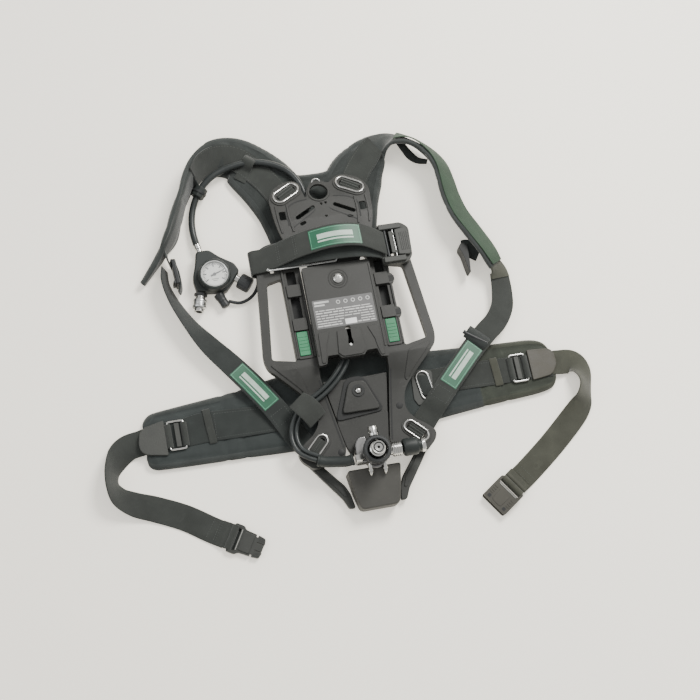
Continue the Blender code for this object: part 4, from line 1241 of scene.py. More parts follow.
def cylinder_strap():
    """The strap over the cylinder's place: outer layer, lining, anchor, label and guide wire."""
    body = (FRAME, "webbing")
    wrap = [
        (-114, 247, 29, 43, 0),
        (-136, 247, 29, 43, 0),
        (-142, 247, 34, 43, 0),
        (-143, 247, 46, 43, 0),
        (-138, 247, 52, 43, 0),
        (-118, 248, 53.5, 43, 0),
        (-92, 252, 63, 43, 0),
        (-52, 257, 83, 43, 0),
        (0, 261, 93, 43, 0),
        (45, 258, 90, 43, 0),
        (76, 248, 78, 43, 0),
        (93, 241, 69.5, 43, 0),
    ]
    line = strap_line(wrap, 8, across=(0, -1, 0))
    band("cylinder_strap_outer", WEBBING, *body, line, 2.6, "cylinder_strap")
    start = next(row[5] for row in line if row[5] > 60 and row[0].x > -45)
    end = next(row[5] for row in line if row[0].x > 47 and row[5] > 60)
    generic_label("cylinder_strap_label", FRAME, line, (start, end), (-17.5, 17.5), 1.3)
    ribbed = [next(row[5] for row in line if row[5] > 60 and row[0].x > x) for x in (-96, -66)]
    paths = [[(run, -19), (run, 19)] for run in (ribbed[0], ribbed[0] + 4, ribbed[1] - 4, ribbed[1])]
    paths += [[(ribbed[0], u), (ribbed[1], u)] for u in (-19, 19)]
    stitches("cylinder_strap_bartack", *body, line, paths, 1.35)
    inner = [
        (-100, 249, 57.5, 41, 0),
        (-80, 247, 61, 41, 0),
        (-52, 246, 69, 41, 0),
        (-10, 244, 76.5, 41, 0),
        (40, 242, 77.5, 41, 0),
        (74, 238, 70, 41, 0),
        (84, 236, 64.5, 41, 0),
    ]
    band("cylinder_strap_lining", WEBBING_DEEP, *body, strap_line(inner, 6, across=(0, -1, 0)), 2.4)
    anchor = [
        (118, 247, 50.6, 40, 0), (108, 247, 50.2, 40, 0), (101, 246, 52, 40, 0),
        (97, 244, 58, 40, 0), (96, 242, 63, 40, 0),
    ]
    band("cylinder_strap_anchor", WEBBING_DEEP, *body, strap_line(anchor, 5, across=(0, -1, 0)), 2.4)
    wire = [(-115, 229, 62), (-113, 226, 58.6), (-60, 226, 58), (-4, 226, 58), (4, 227, 58.6), (6, 230, 62)]
    tube("strap_wire", STEEL, FRAME, "chrome", wire, 1.8, 8, 4, replaced="strap_guide_wire")


def strap_buckle():
    """The strap's frame, bars and cam lever."""
    frame_body = (FRAME, "black_plastic")
    outline = [(84, 276, 4), (128, 279, 8), (141, 267, 6), (138, 213, 8), (126, 203, 6), (84, 205, 4)]
    window = rounded(rectangle(93, 217, 123, 265), 2, 3)
    outline = rounded(outline, 5)
    flat("buckle_base", GREY_BLACK, *frame_body, outline, 55.6, 65, [window], 2.0, "strap_buckle_frame")
    for tag, (y0, y1, top) in {"upper": (265.5, 276, 72.5), "lower": (206, 216.5, 70)}.items():
        wall = [(86, y0, 2), (126, y0, 3), (126, y1, 3), (86, y1, 2)]
        flat(f"buckle_wall_{tag}", GREY_BLACK, *frame_body, rounded(wall, 2), 64, top, (), 1.6)
    for index, (x, finish, radius) in enumerate(((96.5, BLACK, 2.4), (110.5, STEEL, 1.5))):
        rod = [(x, 216.8, 67), (x, 241, 67), (x, 265.2, 67)]
        tube(f"buckle_bar_{index}", finish, *frame_body, rod, radius, 2, 5)
    lever = [
        (113.5, 217.6, 1.5), (134, 215, 6), (137, 222, 5), (137, 262, 5), (134, 267, 6),
        (113.5, 264.4, 1.5),
    ]
    lever_body = ("strap_lever", "black_plastic")
    flat("buckle_lever", GREY_BLACK, *lever_body, rounded(lever, 5), 66, 71.6, (), 1.8, "strap_buckle_lever")
    arm = rounded(rectangle(102.4, 222, 108.4, 262), 1.5, 3)
    flat("buckle_lever_arm", GREY_BLACK, *lever_body, arm, 66, 70.4, (), 1.2)
    for index, y in enumerate((224.5, 257.5)):
        block(f"buckle_lever_link_{index}", GREY_BLACK, *lever_body, (111, y, 67.6), (8, 5, 2.6), edge=0.6)
    for index in range(5):
        centre = (120.5 + index * 3.2, 241, 71.6)
        block(f"buckle_lever_grip_{index}", GREY_BLACK, *lever_body, centre, (1.4, 34, 1.2), edge=0.5)


# ---------------------------------------------------------------- shoulder harness


LEFT_PAD = [
    (-48, 285, 8, 92, 0),
    (-53, 325, 8, 104, 0),
    (-62, 365, 8, 112, 0),
    (-80, 402, 8, 112, 0),
    (-106, 436, 8, 104, 0),
    (-132, 461, 8.5, 88, 3),
    (-164, 466, 13, 72, 20),
    (-195, 455, 22, 60, 46),
    (-219, 429, 28, 58, 68),
    (-237, 395, 30.5, 60, 80),
    (-254, 357, 30.5, 60, 79),
    (-269, 323, 29, 56, 77),
    (-290, 296, 22, 38, 82),
    (-312, 272, 16, 24, 86),
    (-331, 253, 11, 16, 88),
]
RIGHT_PAD = [
    (49, 285, 8, 92, 0),
    (54, 325, 8, 104, 0),
    (62, 365, 8, 112, 0),
    (80, 400, 8, 106, 0),
    (100, 425, 9, 88, 4),
    (124, 446, 14, 68, 18),
    (152, 454, 24, 56, 44),
    (184, 443, 33, 53, 62),
    (212, 418, 33.5, 54, 57),
    (228, 390, 33, 56, 50),
    (233, 360, 32, 57, 46),
    (236, 328, 31, 58, 43),
    (244, 293, 30.5, 60, 42),
    (261, 256, 30, 60, 42),
    (280, 218, 27.5, 56, 42),
    (293, 188, 21.5, 40, 36),
]


SHOULDER_SEAMS = (("left", LEFT_PAD, (205, 278, 350)), ("right", RIGHT_PAD, (172, 352, 400)))


def shoulder_pads():
    """Two sewn pads with webbing along each, the bridge behind the neck, and the right pad's cover."""
    lines = {}
    for name, stations, seam_at in SHOULDER_SEAMS:
        length = strap_line(stations, 10)[-1][5]
        seams = []
        for side in (1, -1):
            seams.append((2.2, (0, side * 36), (seam_at[0], side * 30)))
            seams.append((1.8, (seam_at[0], side * 30), (length - 60, side * 17)))
        seams += [(1.8, (run, -24), (run + 5, 24)) for run in seam_at]
        made = pad(
            f"shoulder_pad_{name}_quilt", PAD_CLOTH, UPPER, "padding", stations, 13, seams, 10,
            replaced=f"shoulder_pad_{name}",
        )
        binding(f"shoulder_pad_{name}_binding", BINDING, UPPER, *made)
        lines[name] = made[1]
    for name, runs in (("left", (88, 300)), ("right", (88, 188))):
        line = lines[name]
        patch(f"shoulder_webbing_{name}", WEBBING, UPPER, "padding", line, runs, (-23, 23), 5.6, 2.4)
        edges = [[(runs[0] + 8, u), (runs[1] - 4, u)] for u in (-20.5, 20.5)]
        stitches(f"shoulder_webbing_{name}_thread", UPPER, "padding", line, edges, 8.0)
    cover = [row for row in lines["right"] if 226 < row[5] < lines["right"][-1][5] - 3]
    shape, _ = loft(cover, cover_section, 0.2)
    attach(emit(shape, "shoulder_pad_right_cover", PAD_GREEN, 60), UPPER, "padding")
    bridge = [
        (-84, 414, 8, 46, 0),
        (-54, 404, 8, 46, 0),
        (-26, 390, 9, 58, 0),
        (0, 386, 9, 62, 0),
        (26, 390, 9, 58, 0),
        (54, 405, 8, 46, 0),
        (86, 424, 8, 46, 0),
    ]
    seams = [(1.6, (10, -14), (170, -14))]
    made = pad("neck_bridge_quilt", PAD_CLOTH, UPPER, "padding", bridge, 12, seams, 8)
    binding("neck_bridge_binding", BINDING, UPPER, *made)


def cover_section(half):
    """The cloth cover over a pad's outer face."""
    spans = [step / 4 for step in range(-4, 5)]
    upper = [(u * (half - 5), 7.3 + 1.1 * (1 - abs(u) ** 3)) for u in spans]
    return upper + [(u, v - 1.4) for u, v in reversed(upper)]


def hose_loop():
    """The strap of webbing on the left pad that the gauge hose runs through."""
    route = [
        (-99, 462, 14.4, 22, 0),
        (-103, 457, 17, 22, 0),
        (-106, 452.5, 26, 22, 0),
        (-110, 447, 29.2, 22, 0),
        (-114, 441.5, 26, 22, 0),
        (-118, 436, 18, 22, 0),
        (-122, 430, 15.4, 22, 0),
        (-131, 417.5, 14.6, 22, 0),
    ]
    band("hose_loop_strap", WEBBING, UPPER, "webbing", strap_line(route, 6, across=(0.8, -0.6, 0)), 1.8)


PULL_LEFT = [
    (-289, 268, 23, 40, 76),
    (-291, 243, 22, 40, 68),
    (-281, 206, 21, 40, 58),
    (-261, 163, 21, 40, 46),
    (-235, 121, 22, 40, 22),
    (-206, 82, 24, 40, 8),
    (-176, 40, 26, 40, 0),
    (-148, -2, 24, 40, 0),
    (-131, -32, 20, 40, 0),
    (-119, -55, 16.4, 40, 0),
    (-105, -78, 16.1, 40, 0),
]
PULL_RIGHT = [
    (298, 172, 15, 40, 20),
    (296, 142, 14, 40, 12),
    (289, 112, 16, 40, 4),
    (271, 86, 20, 40, 0),
    (246, 66, 24, 40, 0),
    (220, 44, 26, 40, 0),
    (190, 15, 26.5, 40, 0),
    (160, -15, 26, 40, 0),
    (137, -39, 26, 40, 0),
    (119, -58, 17, 40, 0),
    (103, -76, 16.1, 40, 0),
]


def nearest_run(line, x, y):
    """The distance along a strap of the row nearest to a place."""
    return min(line, key=lambda row: (row[0].x - x) ** 2 + (row[0].y - y) ** 2)[5]


def pull_straps():
    """The webbing from each shoulder pad down to its lower ring."""
    for name, stations, webbing, centre in (
        ("left", PULL_LEFT, WEBBING_DEEP, (-176, 36)),
        ("right", PULL_RIGHT, WEBBING, (189, 14)),
    ):
        follow = (UPPER, FRAME, stations[1][:3], stations[-2][:3])
        line = strap_line(stations, 8)
        band(f"pull_strap_{name}_webbing", webbing, follow, "webbing", line, 2, f"pull_strap_{name}")
        middle = nearest_run(line, *centre)
        generic_label(f"pull_strap_{name}_label", follow, line, (middle - 44, middle + 44), (-16, 16), 1.0)
        run = line[-1][5]
        paths = [[(run - 52, -15), (run - 52, 15), (run - 74, 15), (run - 74, -15), (run - 52, -15)]]
        stitches(f"pull_strap_{name}_box", follow, "webbing", line, paths, 1.05)
    fold = [
        (236, 67, 26, 42, 0), (232, 63, 30, 43, 0), (227, 58, 32.5, 43, 0), (222, 53, 31, 43, 0),
        (219, 50, 27, 42, 0),
    ]
    follow = (UPPER, FRAME, PULL_RIGHT[1][:3], PULL_RIGHT[-2][:3])
    band("pull_strap_right_fold", WEBBING_DEEP, follow, "webbing", strap_line(fold, 5), 2.2)
    bar = [(206, 73, 30), (211, 68, 30.5), (226, 56.5, 31), (243, 45, 30)]
    tube("pull_strap_right_bar", BLACK, follow, "webbing", bar, 3.6, 4, 4)


def shoulder_adjusters():
    """Webbing tabs and sliders at the pad tips, seen nearly edge on."""
    body = (UPPER, "black_plastic")
    centre, size, node_name = (-271, 257, 22), (8, 46, 34), "shoulder_adjuster_left"
    block("left_adjuster_slider", BLACK, *body, centre, size, 4, 2.4, replaced=node_name)
    tab = [(-268, 268, 22, 30, 86), (-265, 250, 22, 32, 86), (-266, 232, 21, 30, 84), (-270, 222, 20, 24, 82)]
    band("left_adjuster_tab", WEBBING_DEEP, *body, strap_line(tab, 5), 3)
    link = [(-276, 316, 26, 26, 80), (-282, 300, 24, 24, 80)]
    link += [(-281, 284, 23, 30, 82), (-277, 270, 23, 34, 84)]
    band("left_adjuster_link", WEBBING_DEEP, *body, strap_line(link, 5), 2.6)
    for index, y in enumerate((278, 239)):
        rod = [(-276, y, 8), (-276, y, 22), (-275, y, 37)]
        tube(f"left_adjuster_bar_{index}", BLACK, *body, rod, 2.6, 3, 4)
    horn = [
        (247, 232, 2), (236, 236, 5), (231, 226, 5), (236, 214, 4), (240, 180, 2), (243, 178, 2),
        (247, 214, 3),
    ]
    horn = rounded(horn, 4)
    flat("right_adjuster_slider", DARK_PLATE, *body, horn, 8, 33, (), 2.2, "shoulder_adjuster_right")
    link = [(268, 214, 26, 34, 30), (256, 222, 25, 32, 20), (246, 228, 23, 30, 10), (238, 230, 20, 28, 0)]
    band("right_adjuster_link", WEBBING_DEEP, *body, strap_line(link, 5), 2.4)
    loop = [
        (168, 448, 26, 16, 10), (176, 433, 22, 16, 10), (185, 419, 19, 16, 0), (196, 408, 20, 13, 0),
        (211, 401, 26, 10, 0),
    ]
    band("right_pad_loop", WEBBING_DEEP, UPPER, "webbing", strap_line(loop, 6), 2.2)
    tail = [(293, 190, 23, 36, 36), (297, 178, 19, 38, 28), (298, 165, 15.5, 40, 20)]
    band("right_pad_tail", WEBBING_OLIVE, UPPER, "webbing", strap_line(tail, 6), 4.4)


# ---------------------------------------------------------------- gauge line


def gauge_hose():
    """The hose to the gauge, with its path and its length in metres."""
    route = [
        (-21, 344, 21),
        (-21.5, 361, 21.5),
        (-23, 379, 22),
        (-29, 399, 22),
        (-42, 419, 21.6),
        (-62, 434, 21.6),
        (-86, 443.5, 21.6),
        (-110, 447, 21.6),
        (-134, 445, 21.6),
        (-158, 439, 21.4),
        (-180, 429, 20.6),
        (-199, 414, 17.5),
        (-213, 395, 14.5),
        (-223, 373, 11.5),
        (-228, 350, 10),
        (-228.5, 328, 10.4),
        (-226.6, 309.4, 12.6),
    ]
    path = [tuple(point * MM) for point in smooth(route, 5)]
    hose = tube("gauge_line_hose", HOSE, UPPER, "black_rubber", route, 6, 5, 6, replaced="gauge_hose")
    length = sum((Vector(b) - Vector(a)).length for a, b in zip(path, path[1:]))
    return hose, path, length


def gauge():
    """The gauge in its rubber boot: rim, bezel, dial, window and needle."""
    x, y = GAUGE
    rubber = (UPPER, "black_rubber")
    outline = [
        (-231, 292, 6),
        (-208, 293, 6),
        (-192, 278, 5),
        (-168, 262, 4),
        (-161, 247, 5),
        (-178.5, 225.5, 4),
        (-190, 213, 5),
        (-240, 219, 7),
        (-244, 244, 8),
        (-236, 268, 6),
    ]
    boot = flat("gauge_boot", SOFT_RUBBER, *rubber, rounded(outline, 5), 3, 25, (), 3.2, "gauge_block")
    profile = [
        (0, 8), (23.2, 8), (23.2, 14.2), (24.4, 15.2), (26.2, 15), (27.8, 13), (28.5, 10), (28.5, 2),
        (27.5, 0), (0, 0),
    ]
    rim = turned("gauge_rim", SOFT_RUBBER, *rubber, profile, (x, y, 25.4), steps=72, replaced="gauge_case")
    profile = [(21.6, 39.6), (22.6, 40.2), (23.6, 40.2), (23.6, 33.5), (22.9, 33.5)]
    profile += [(22.9, 39.2), (21.6, 39.2)]
    bezel = turned("gauge_bezel", STEEL, *rubber, profile, (x, y, 0), steps=72, ring=True)
    profile, dial = [(0, 0.8), (22.4, 0.8), (22.4, 0), (0, 0)], (DIAL, UPPER, "dial_face")
    face = turned("gauge_face", *dial, profile, (x, y, 34.9), steps=72, replaced="gauge_dial")
    profile, glass = [(0, 1.5), (18, 1.2), (21.2, 0.4), (21.2, 0), (0, 0.8)], (LENS, UPPER, "lens")
    window = turned("gauge_window", *glass, profile, (x, y, 37.6), steps=72, replaced="gauge_lens")
    marks = gauge_marks(x, y)
    needle = (INK, "gauge_needle", "needle")
    outline = turned_by(GAUGE, 20, [(-7, -1.5), (-7, 1.5), (0, 1.3), (18, 0.45), (18, -0.45), (0, -1.3)])
    pointer = flat("gauge_pointer", *needle, outline, 36.3, 36.9, (), 0, "gauge_needle")
    profile = [(0, 1.4), (2.0, 1.4), (2.8, 0.6), (2.8, 0), (0, 0)]
    hub = turned("gauge_hub", *needle, profile, (x, y, 36.2), steps=24)
    return [boot, rim, bezel, face, window, *marks, pointer, hub]


def gauge_marks(x, y):
    """Tick marks round the dial, and two plain bars in place of its print."""
    shape = bmesh.new()
    for index in range(31):
        angle = math.radians(215 - index * 250 / 30)
        major = index % 5 == 0
        inner, outer, half = (14 if major else 17.2), 20.4, (1.0 if major else 0.4)
        ray = Vector((math.cos(angle), math.sin(angle), 0))
        side = Vector((-ray.y, ray.x, 0)) * half
        centre = Vector((x, y, 35.75))
        near, far = centre + ray * inner, centre + ray * outer
        corners = [near - side, far - side, far + side, near + side]
        prism(shape, corners, [corner + Vector((0, 0, 0.2)) for corner in corners], base=False)
    made = [attach(emit(shape, "gauge_ticks", INK), UPPER, "dial_face")]
    for index, half in enumerate((6, 4)):
        low = y - 9 - index * 3
        bar = rectangle(x - half, low, x + half, low + 1)
        made.append(flat(f"gauge_bar_{index}", INK, UPPER, "dial_face", bar, 35.6, 35.85))
    return made


def line_coupler():
    """The hose's ferrule, and the quick coupler below the gauge with its sliding sleeve."""
    at, way = (-226.2, 307.9, 13), (0.22, -0.97, 0.06)
    profile = [
        (0, 15), (5, 15), (5, 9), (6.2, 8), (6.2, 5.4), (5.8, 5), (6.2, 4.6), (6.2, 2.4), (5.8, 2),
        (6.2, 1.6), (6.2, 0), (0, 0),
    ]
    ferrule = turned("line_ferrule", *UPPER_CHROME, profile, at, way, replaced="hose_ferrule")
    start, way = (-233.5, 218, 14), (-0.26, -0.966, 0)
    profile = [
        (0, 16), (6, 16), (6, 33.4), (6.6, 34), (8.8, 34), (8.8, 30), (8.2, 29.4), (8.2, 28.6),
        (8.8, 28), (8.8, 2), (7.4, 0), (0, 0),
    ]
    barrel = turned("coupler_barrel", *UPPER_CHROME, profile, start, way, replaced="coupler_body")
    profile = [
        (10.9, 28), (12.2, 27.2), (12.4, 26), (12.4, 24), (11.6, 23), (11.6, 17), (12.4, 16),
        (12.4, 14), (11.4, 12), (9.2, 12), (9.2, 28),
    ]
    sleeve = "coupler_sleeve"
    grip = turned("coupler_grip", STEEL, sleeve, "chrome", profile, start, way, ring=True, replaced=sleeve)
    profile = [(10.8, 6), (11.4, 5), (11.4, 1), (10.4, 0), (8.9, 0), (8.9, 6)]
    collar = turned("coupler_collar", BLACK, UPPER, "black_rubber", profile, start, way, steps=6, ring=True)
    return [ferrule, barrel, grip, collar]


def dust_cap():
    """The second neck, its ribbed cap, and the tether that keeps the cap."""
    start, way = (-169.3, 235.9, 16), (0.78, -0.626, 0)
    profile = [(0, 24), (6.8, 24), (7.2, 23.4), (7.2, 14), (6.4, 13.4), (6.4, 7), (7.2, 6.4)]
    profile += [(7.2, 0), (0, 0)]
    neck = turned("neck_tube", *UPPER_CHROME, profile, start, way, replaced="capped_neck")
    profile = [
        (0, 29.5), (11.6, 29.5), (13.2, 28.8), (14, 27.5), (14, 9.5), (13.2, 7.8), (12.6, 7.5),
        (7.9, 7.5), (7.9, 25), (0, 25),
    ]
    body = ("coupler_cap", "black_plastic")
    cap = turned("neck_cap", BLACK, *body, profile, start, way, replaced="coupler_cap")
    ribs = cap_ribs(Vector(start), Vector(way).normalized())
    route = [
        (-131, 230, 15), (-133, 218, 13), (-141, 205, 11), (-154, 196, 9), (-170, 193, 7), (-188, 198.6, 8)
    ]
    follow = ("coupler_cap", UPPER, route[0], route[-1])
    tether = tube("cap_strap", RUBBER, follow, "black_rubber", route, 3, 6, 4, replaced="cap_tether")
    return [neck, cap, ribs, tether]


def whistle():
    """The low-pressure alarm's whistle."""
    profile = [
        (0, 24), (4.6, 24), (5.5, 23.4), (8, 22), (8, 14), (7.4, 13.4), (7.4, 12.6), (8, 12), (8, 6),
        (9, 4), (9, -3), (0, -3),
    ]
    at, way = (-202.4, 209.4, 12.5), (0.39, -0.92, 0)
    return turned("warning_whistle", BLACK, UPPER, "black_rubber", profile, at, way, replaced="alarm_whistle")


def cap_ribs(start, way):
    """Ten grip ribs round the cap, in one mesh."""
    shape = bmesh.new()
    spin = way.to_track_quat("Z", "Y").to_matrix().to_4x4()
    for index in range(10):
        around = Matrix.Rotation(math.tau * index / 10, 4, "Z")
        size = Matrix.Diagonal((1.6, 1.6, 15, 1))
        place = Matrix.Translation(start) @ spin @ around @ Matrix.Translation((13.9, 0, 18.5)) @ size
        bmesh.ops.create_cube(shape, size=1, matrix=place)
    ribs = emit(shape, "neck_cap_ribs", BLACK)
    soften(ribs, 0.5)
    return attach(ribs, "coupler_cap", "black_plastic")


def hose_clip():
    """The rubber clip that ties the gauge hose to the pad's strap."""
    centre, way = Vector((-206, 404.5, 16)), Vector((-14, -19, -3)).normalized()
    shell = [(8.4, -10), (11.4, -10), (12.6, -8.6), (12.6, 8.6), (11.4, 10), (8.4, 10)]
    grip = turned(
        "hose_clip_shell", SOFT_RUBBER, UPPER, "black_rubber", shell, centre, way, steps=8,
        ring=True, edge=0.8, replaced="hose_clip",
    )
    ring = [(12, -2.4), (13.4, -2.0), (13.4, 2.0), (12, 2.4), (11, 2.4), (11, -2.4)]
    rib = turned("hose_clip_band", BLACK, UPPER, "black_rubber", ring, centre, way, steps=24, ring=True)
    stem = [(-209, 415, 20, 16, 62), (-213, 424, 23, 16, 64), (-217, 433, 27, 16, 68)]
    hanger = band("hose_clip_strap", WEBBING_DEEP, UPPER, "webbing", strap_line(stem, 5), 2)
    return [grip, rib, hanger]


# ---------------------------------------------------------------- hip belt


def hip_pad():
    """The padded belt, sewn into panels; its two edges follow the stations' widths."""
    edges = [
        (-370, -6, -58),
        (-368.5, 6, -68),
        (-364, 14, -74.5),
        (-356, 20.5, -78.5),
        (-345, 23.5, -80),
        (-328, 26, -81),
        (-300, 29, -82),
        (-255, 33.5, -83),
        (-204, 39, -84),
        (-150, 49, -86),
        (-110, 56, -87),
        (-50, 70, -90),
        (0, 76, -91),
        (60, 72, -83),
        (130, 58, -73),
        (190, 53.5, -66.5),
        (240, 50.5, -62),
        (285, 49, -59),
        (315, 47.5, -56.5),
        (333, 44.5, -53.5),
        (344, 40, -50),
        (351, 34, -45.5),
        (356, 24, -38),
        (358.5, 10, -28),
    ]
    stations = [(x, (top + low) / 2, HIP_PAD_HEIGHT / 2, top - low, 0) for x, top, low in edges]
    line = strap_line(stations, 8, across=(0, -1, 0))

    def on_pad(x, y):
        """A place on the pad, as (distance along it, distance across it)."""
        row = min(line, key=lambda r: abs(r[0].x - x))
        return (row[5], row[0].y - y)

    corners = [
        (2.6, -232, 33, -236, -81),
        (2.6, -206, 36, -206, -83),
        (2.2, -206, -4, -110, 2),
        (2.4, -206, -46, -110, -40),
        (2.0, -350, -66, -120, -74),
        (2.2, -345, 13, -236, 20),
        (2.0, -206, 26, -110, 44),
        (2.8, 217, 48, 221, -62),
        (2.4, 150, 50, 146, -66),
        (2.4, 252, 44, 262, -56),
        (2.2, 150, 22, 217, 18),
        (2.2, 150, -44, 217, -38),
        (2.0, 252, 34, 345, 30),
        (2.0, 262, -46, 345, -40),
    ]
    seams = [(depth, on_pad(x0, y0), on_pad(x1, y1)) for depth, x0, y0, x1, y1 in corners]
    made = pad(
        "hip_pad_quilt", HIP_CLOTH, BELT, "padding", stations, HIP_PAD_HEIGHT, seams, 8, (0, -1, 0),
        1.8, 27, replaced="hip_pad",
    )
    binding("hip_pad_binding", HIP_BINDING, BELT, *made, reach=4)


def belt_layers():
    """The belt webbing on top of the pad, its keepers, and the small fittings beside the plate."""
    body = (BELT, "webbing")
    left = [
        (-352, -24, 13.8, 46, 0), (-300, -22, 14.4, 50, 0), (-262, -19, 14.9, 52, 0),
        (-200, -21, 14.9, 50, 0), (-125, -23, 14.6, 46, 0),
    ]
    line = strap_line(left, 8)
    band("belt_layer_left", WEBBING_DEEP, *body, line, 1.6)
    rows = [[(104, -21), (224, -19)], [(104, 21), (224, 19)], [(104, -21), (104, 21)]]
    stitches("belt_layer_left_thread", *body, line, rows, 0.85)
    keeper = [
        (-261, 11, 14.2, 13, 0), (-260, 8, 16.4, 13, 0), (-258, -20, 17.2, 13, 0),
        (-256, -45, 16.4, 13, 0), (-255.6, -48, 14.2, 13, 0),
    ]
    band("belt_keeper_left", WEBBING, *body, strap_line(keeper, 6, across=(1, 0.08, 0)), 1.8)
    right = [
        (352, -8, 13.8, 42, 0), (300, -6, 14.4, 44, 0), (262, -5, 14.9, 46, 0),
        (200, -4, 14.9, 46, 0), (135, -4, 14.6, 44, 0),
    ]
    line = strap_line(right, 8)
    band("belt_layer_right", WEBBING, *body, line, 1.6)
    rows = [[(96, -19), (200, -18)], [(96, 19), (200, 18)], [(96, -19), (96, 19)]]
    stitches("belt_layer_right_thread", *body, line, rows, 0.85)
    keeper = [
        (250, 20, 14.2, 14, 0), (250, 17, 16.4, 14, 0), (251, -5, 17.2, 14, 0),
        (252, -27, 16.4, 14, 0), (252, -30, 14.2, 14, 0),
    ]
    band("belt_keeper_right", WEBBING_OLIVE, *body, strap_line(keeper, 6, across=(1, 0.05, 0)), 1.8)
    plate = [(112, 22, 6), (139, 17, 8), (134, -20, 8), (104, -44, 6), (97, -30, 4), (100, 10, 5)]
    flat("belt_side_plate", GREY_BLACK, BELT, "black_plastic", rounded(plate, 5), 14.2, 15.8, (), 0.7)
    wire = [(x, y, 17.2) for x, y in slot((121, -9), 52, 22, 98, 12)]
    tube("belt_side_ring", CHROME, BELT, "chrome", wire, 1.8, sides=4, closed=True)
    tab = [
        (109, -7, 16, 38, 0), (115, -8, 18.2, 38, 0), (121, -9, 19, 38, 0), (127, -10, 18.2, 38, 0),
        (133, -11, 16, 38, 0),
    ]
    band("belt_side_tab", WEBBING_DEEP, *body, strap_line(tab, 5, across=(-0.14, 0.99, 0)), 1.8)


def waist_tabs():
    """The coated tabs at the belt's ends."""
    left = [
        (-333, 4, 3), (-333, -57, 3), (-368, -51, 7), (-378, -43, 6), (-380, -32, 7), (-376, -12, 7),
        (-366, -3, 6),
    ]
    right = [(313, 25, 3), (354, 22, 7), (361, 13, 6), (362, -8, 7), (350, -26, 8), (313, -31, 3)]
    for name, corners, cloth in (("left", left, TAB), ("right", right, TAB_WARM)):
        outline = rounded(corners, 8)
        centre = Vector([sum(values) / len(outline) for values in zip(*outline)])
        tab = f"waist_tab_{name}"
        flat(f"{tab}_cloth", cloth, BELT, "coated_tab", outline, 15, 18.4, (), 1.3, tab)
        inset = [tuple(centre + (Vector(point) - centre) * 0.88) for point in outline]
        thread_line(f"{tab}_thread", BELT, "coated_tab", [(x, y, 18.35) for x, y in inset])


def thread_line(name, body, slot_name, points, length=2.8, gap=1.4):
    """Stitches laid along a closed line of points on a level surface."""
    shape = bmesh.new()
    for start, end in zip(points, points[1:] + points[:1]):
        start, end = Vector(start), Vector(end)
        span = (end - start).length
        for index in range(int(span / (length + gap)) or (span > 1.5)):
            low = start.lerp(end, min(index * (length + gap) / span, 1))
            high = start.lerp(end, min((index * (length + gap) + length) / span, 1))
            side = (high - low).cross(Vector((0, 0, 1))).normalized() * 0.35
            middle = (low + high) / 2
            top, bottom = middle + Vector((0, 0, 0.45)), middle - Vector((0, 0, 0.3))
            one_stitch(shape, (low, middle - side, high, middle + side), top, bottom)
    return attach(emit(shape, name, THREAD, 80), body, slot_name)


def waist_adjusters():
    """Bent wire rectangles with a flat bar between; each tilts about its inner long side."""
    hump = [(-5, 16.4), (-3.6, 18.6), (0, 20.6), (3.6, 18.6), (5, 16.4)]
    for name, (x, y) in WAIST_ADJUSTERS.items():
        body = f"waist_adjuster_{name}"
        toward = 1 if x < 0 else -1
        corners = rounded(rectangle(x - 13.5, y - 24, x + 13.5, y + 24), 4, 5)
        route = [(*corner, 17.6) for corner in corners]
        tube(f"{body}_wire", CHROME, body, "steel", route, 2.0, sides=4, closed=True, replaced=body)
        bar = rounded(rectangle(x - 4 + toward * 1.5, y - 20.5, x + 4 + toward * 1.5, y + 20.5), 1.5, 3)
        flat(f"{body}_bar", TAB, body, "steel", bar, 17.4, 20.2, (), 0.9)
        inner, outer = (BELT, "webbing"), (body, "steel")
        for tag, at, carrier in (("inner", toward * 13.5, inner), ("outer", -toward * 13.5, outer)):
            wrap = [(x + at + u, y, z, 41, 0) for u, z in hump]
            band(f"{body}_wrap_{tag}", WEBBING, *carrier, strap_line(wrap, 4, across=(0, -1, 0)), 1.4)


WAIST_LEFT = [
    (-374, -27, 9.5, 44, 0),
    (-398, -31, 7, 44, 6),
    (-416, -45, 11, 44, 30),
    (-429, -67, 19, 44, 58),
    (-432, -92, 20.5, 44, 62),
    (-423, -113, 14, 44, 38),
    (-400, -128, 6.5, 44, 14),
    (-368, -141, 2.6, 44, 3),
    (-323, -163, 1.6, 44, 0),
    (-282, -191, 2, 44, 0),
    (-260, -205, 4, 44, 0),
]
WAIST_RIGHT = [
    (363, -4, 9.6, 44, 0),
    (390, -7, 8, 44, 0),
    (403, -22, 12, 44, 22),
    (405, -47, 17.5, 44, 48),
    (399, -69, 17, 44, 46),
    (388, -88, 11, 44, 22),
    (366, -110, 5, 44, 4),
    (322, -147, 1.6, 44, 0),
    (272, -184, 1.8, 44, 0),
    (243, -203, 3.4, 44, 0),
]

WAIST_ROOTS = {
    "left": [
        (-345, -24, 14.2, 43, 0), (-358, -25, 12.8, 43, 0), (-369, -26, 10.8, 44, 0),
        (-379, -28, 8.8, 44, 0),
    ],
    "right": [
        (342, -4, 14.2, 43, 0), (354, -4, 12.4, 43, 0), (366, -4.2, 9.6, 44, 0), (374, -5, 8.8, 44, 0),
    ],
}


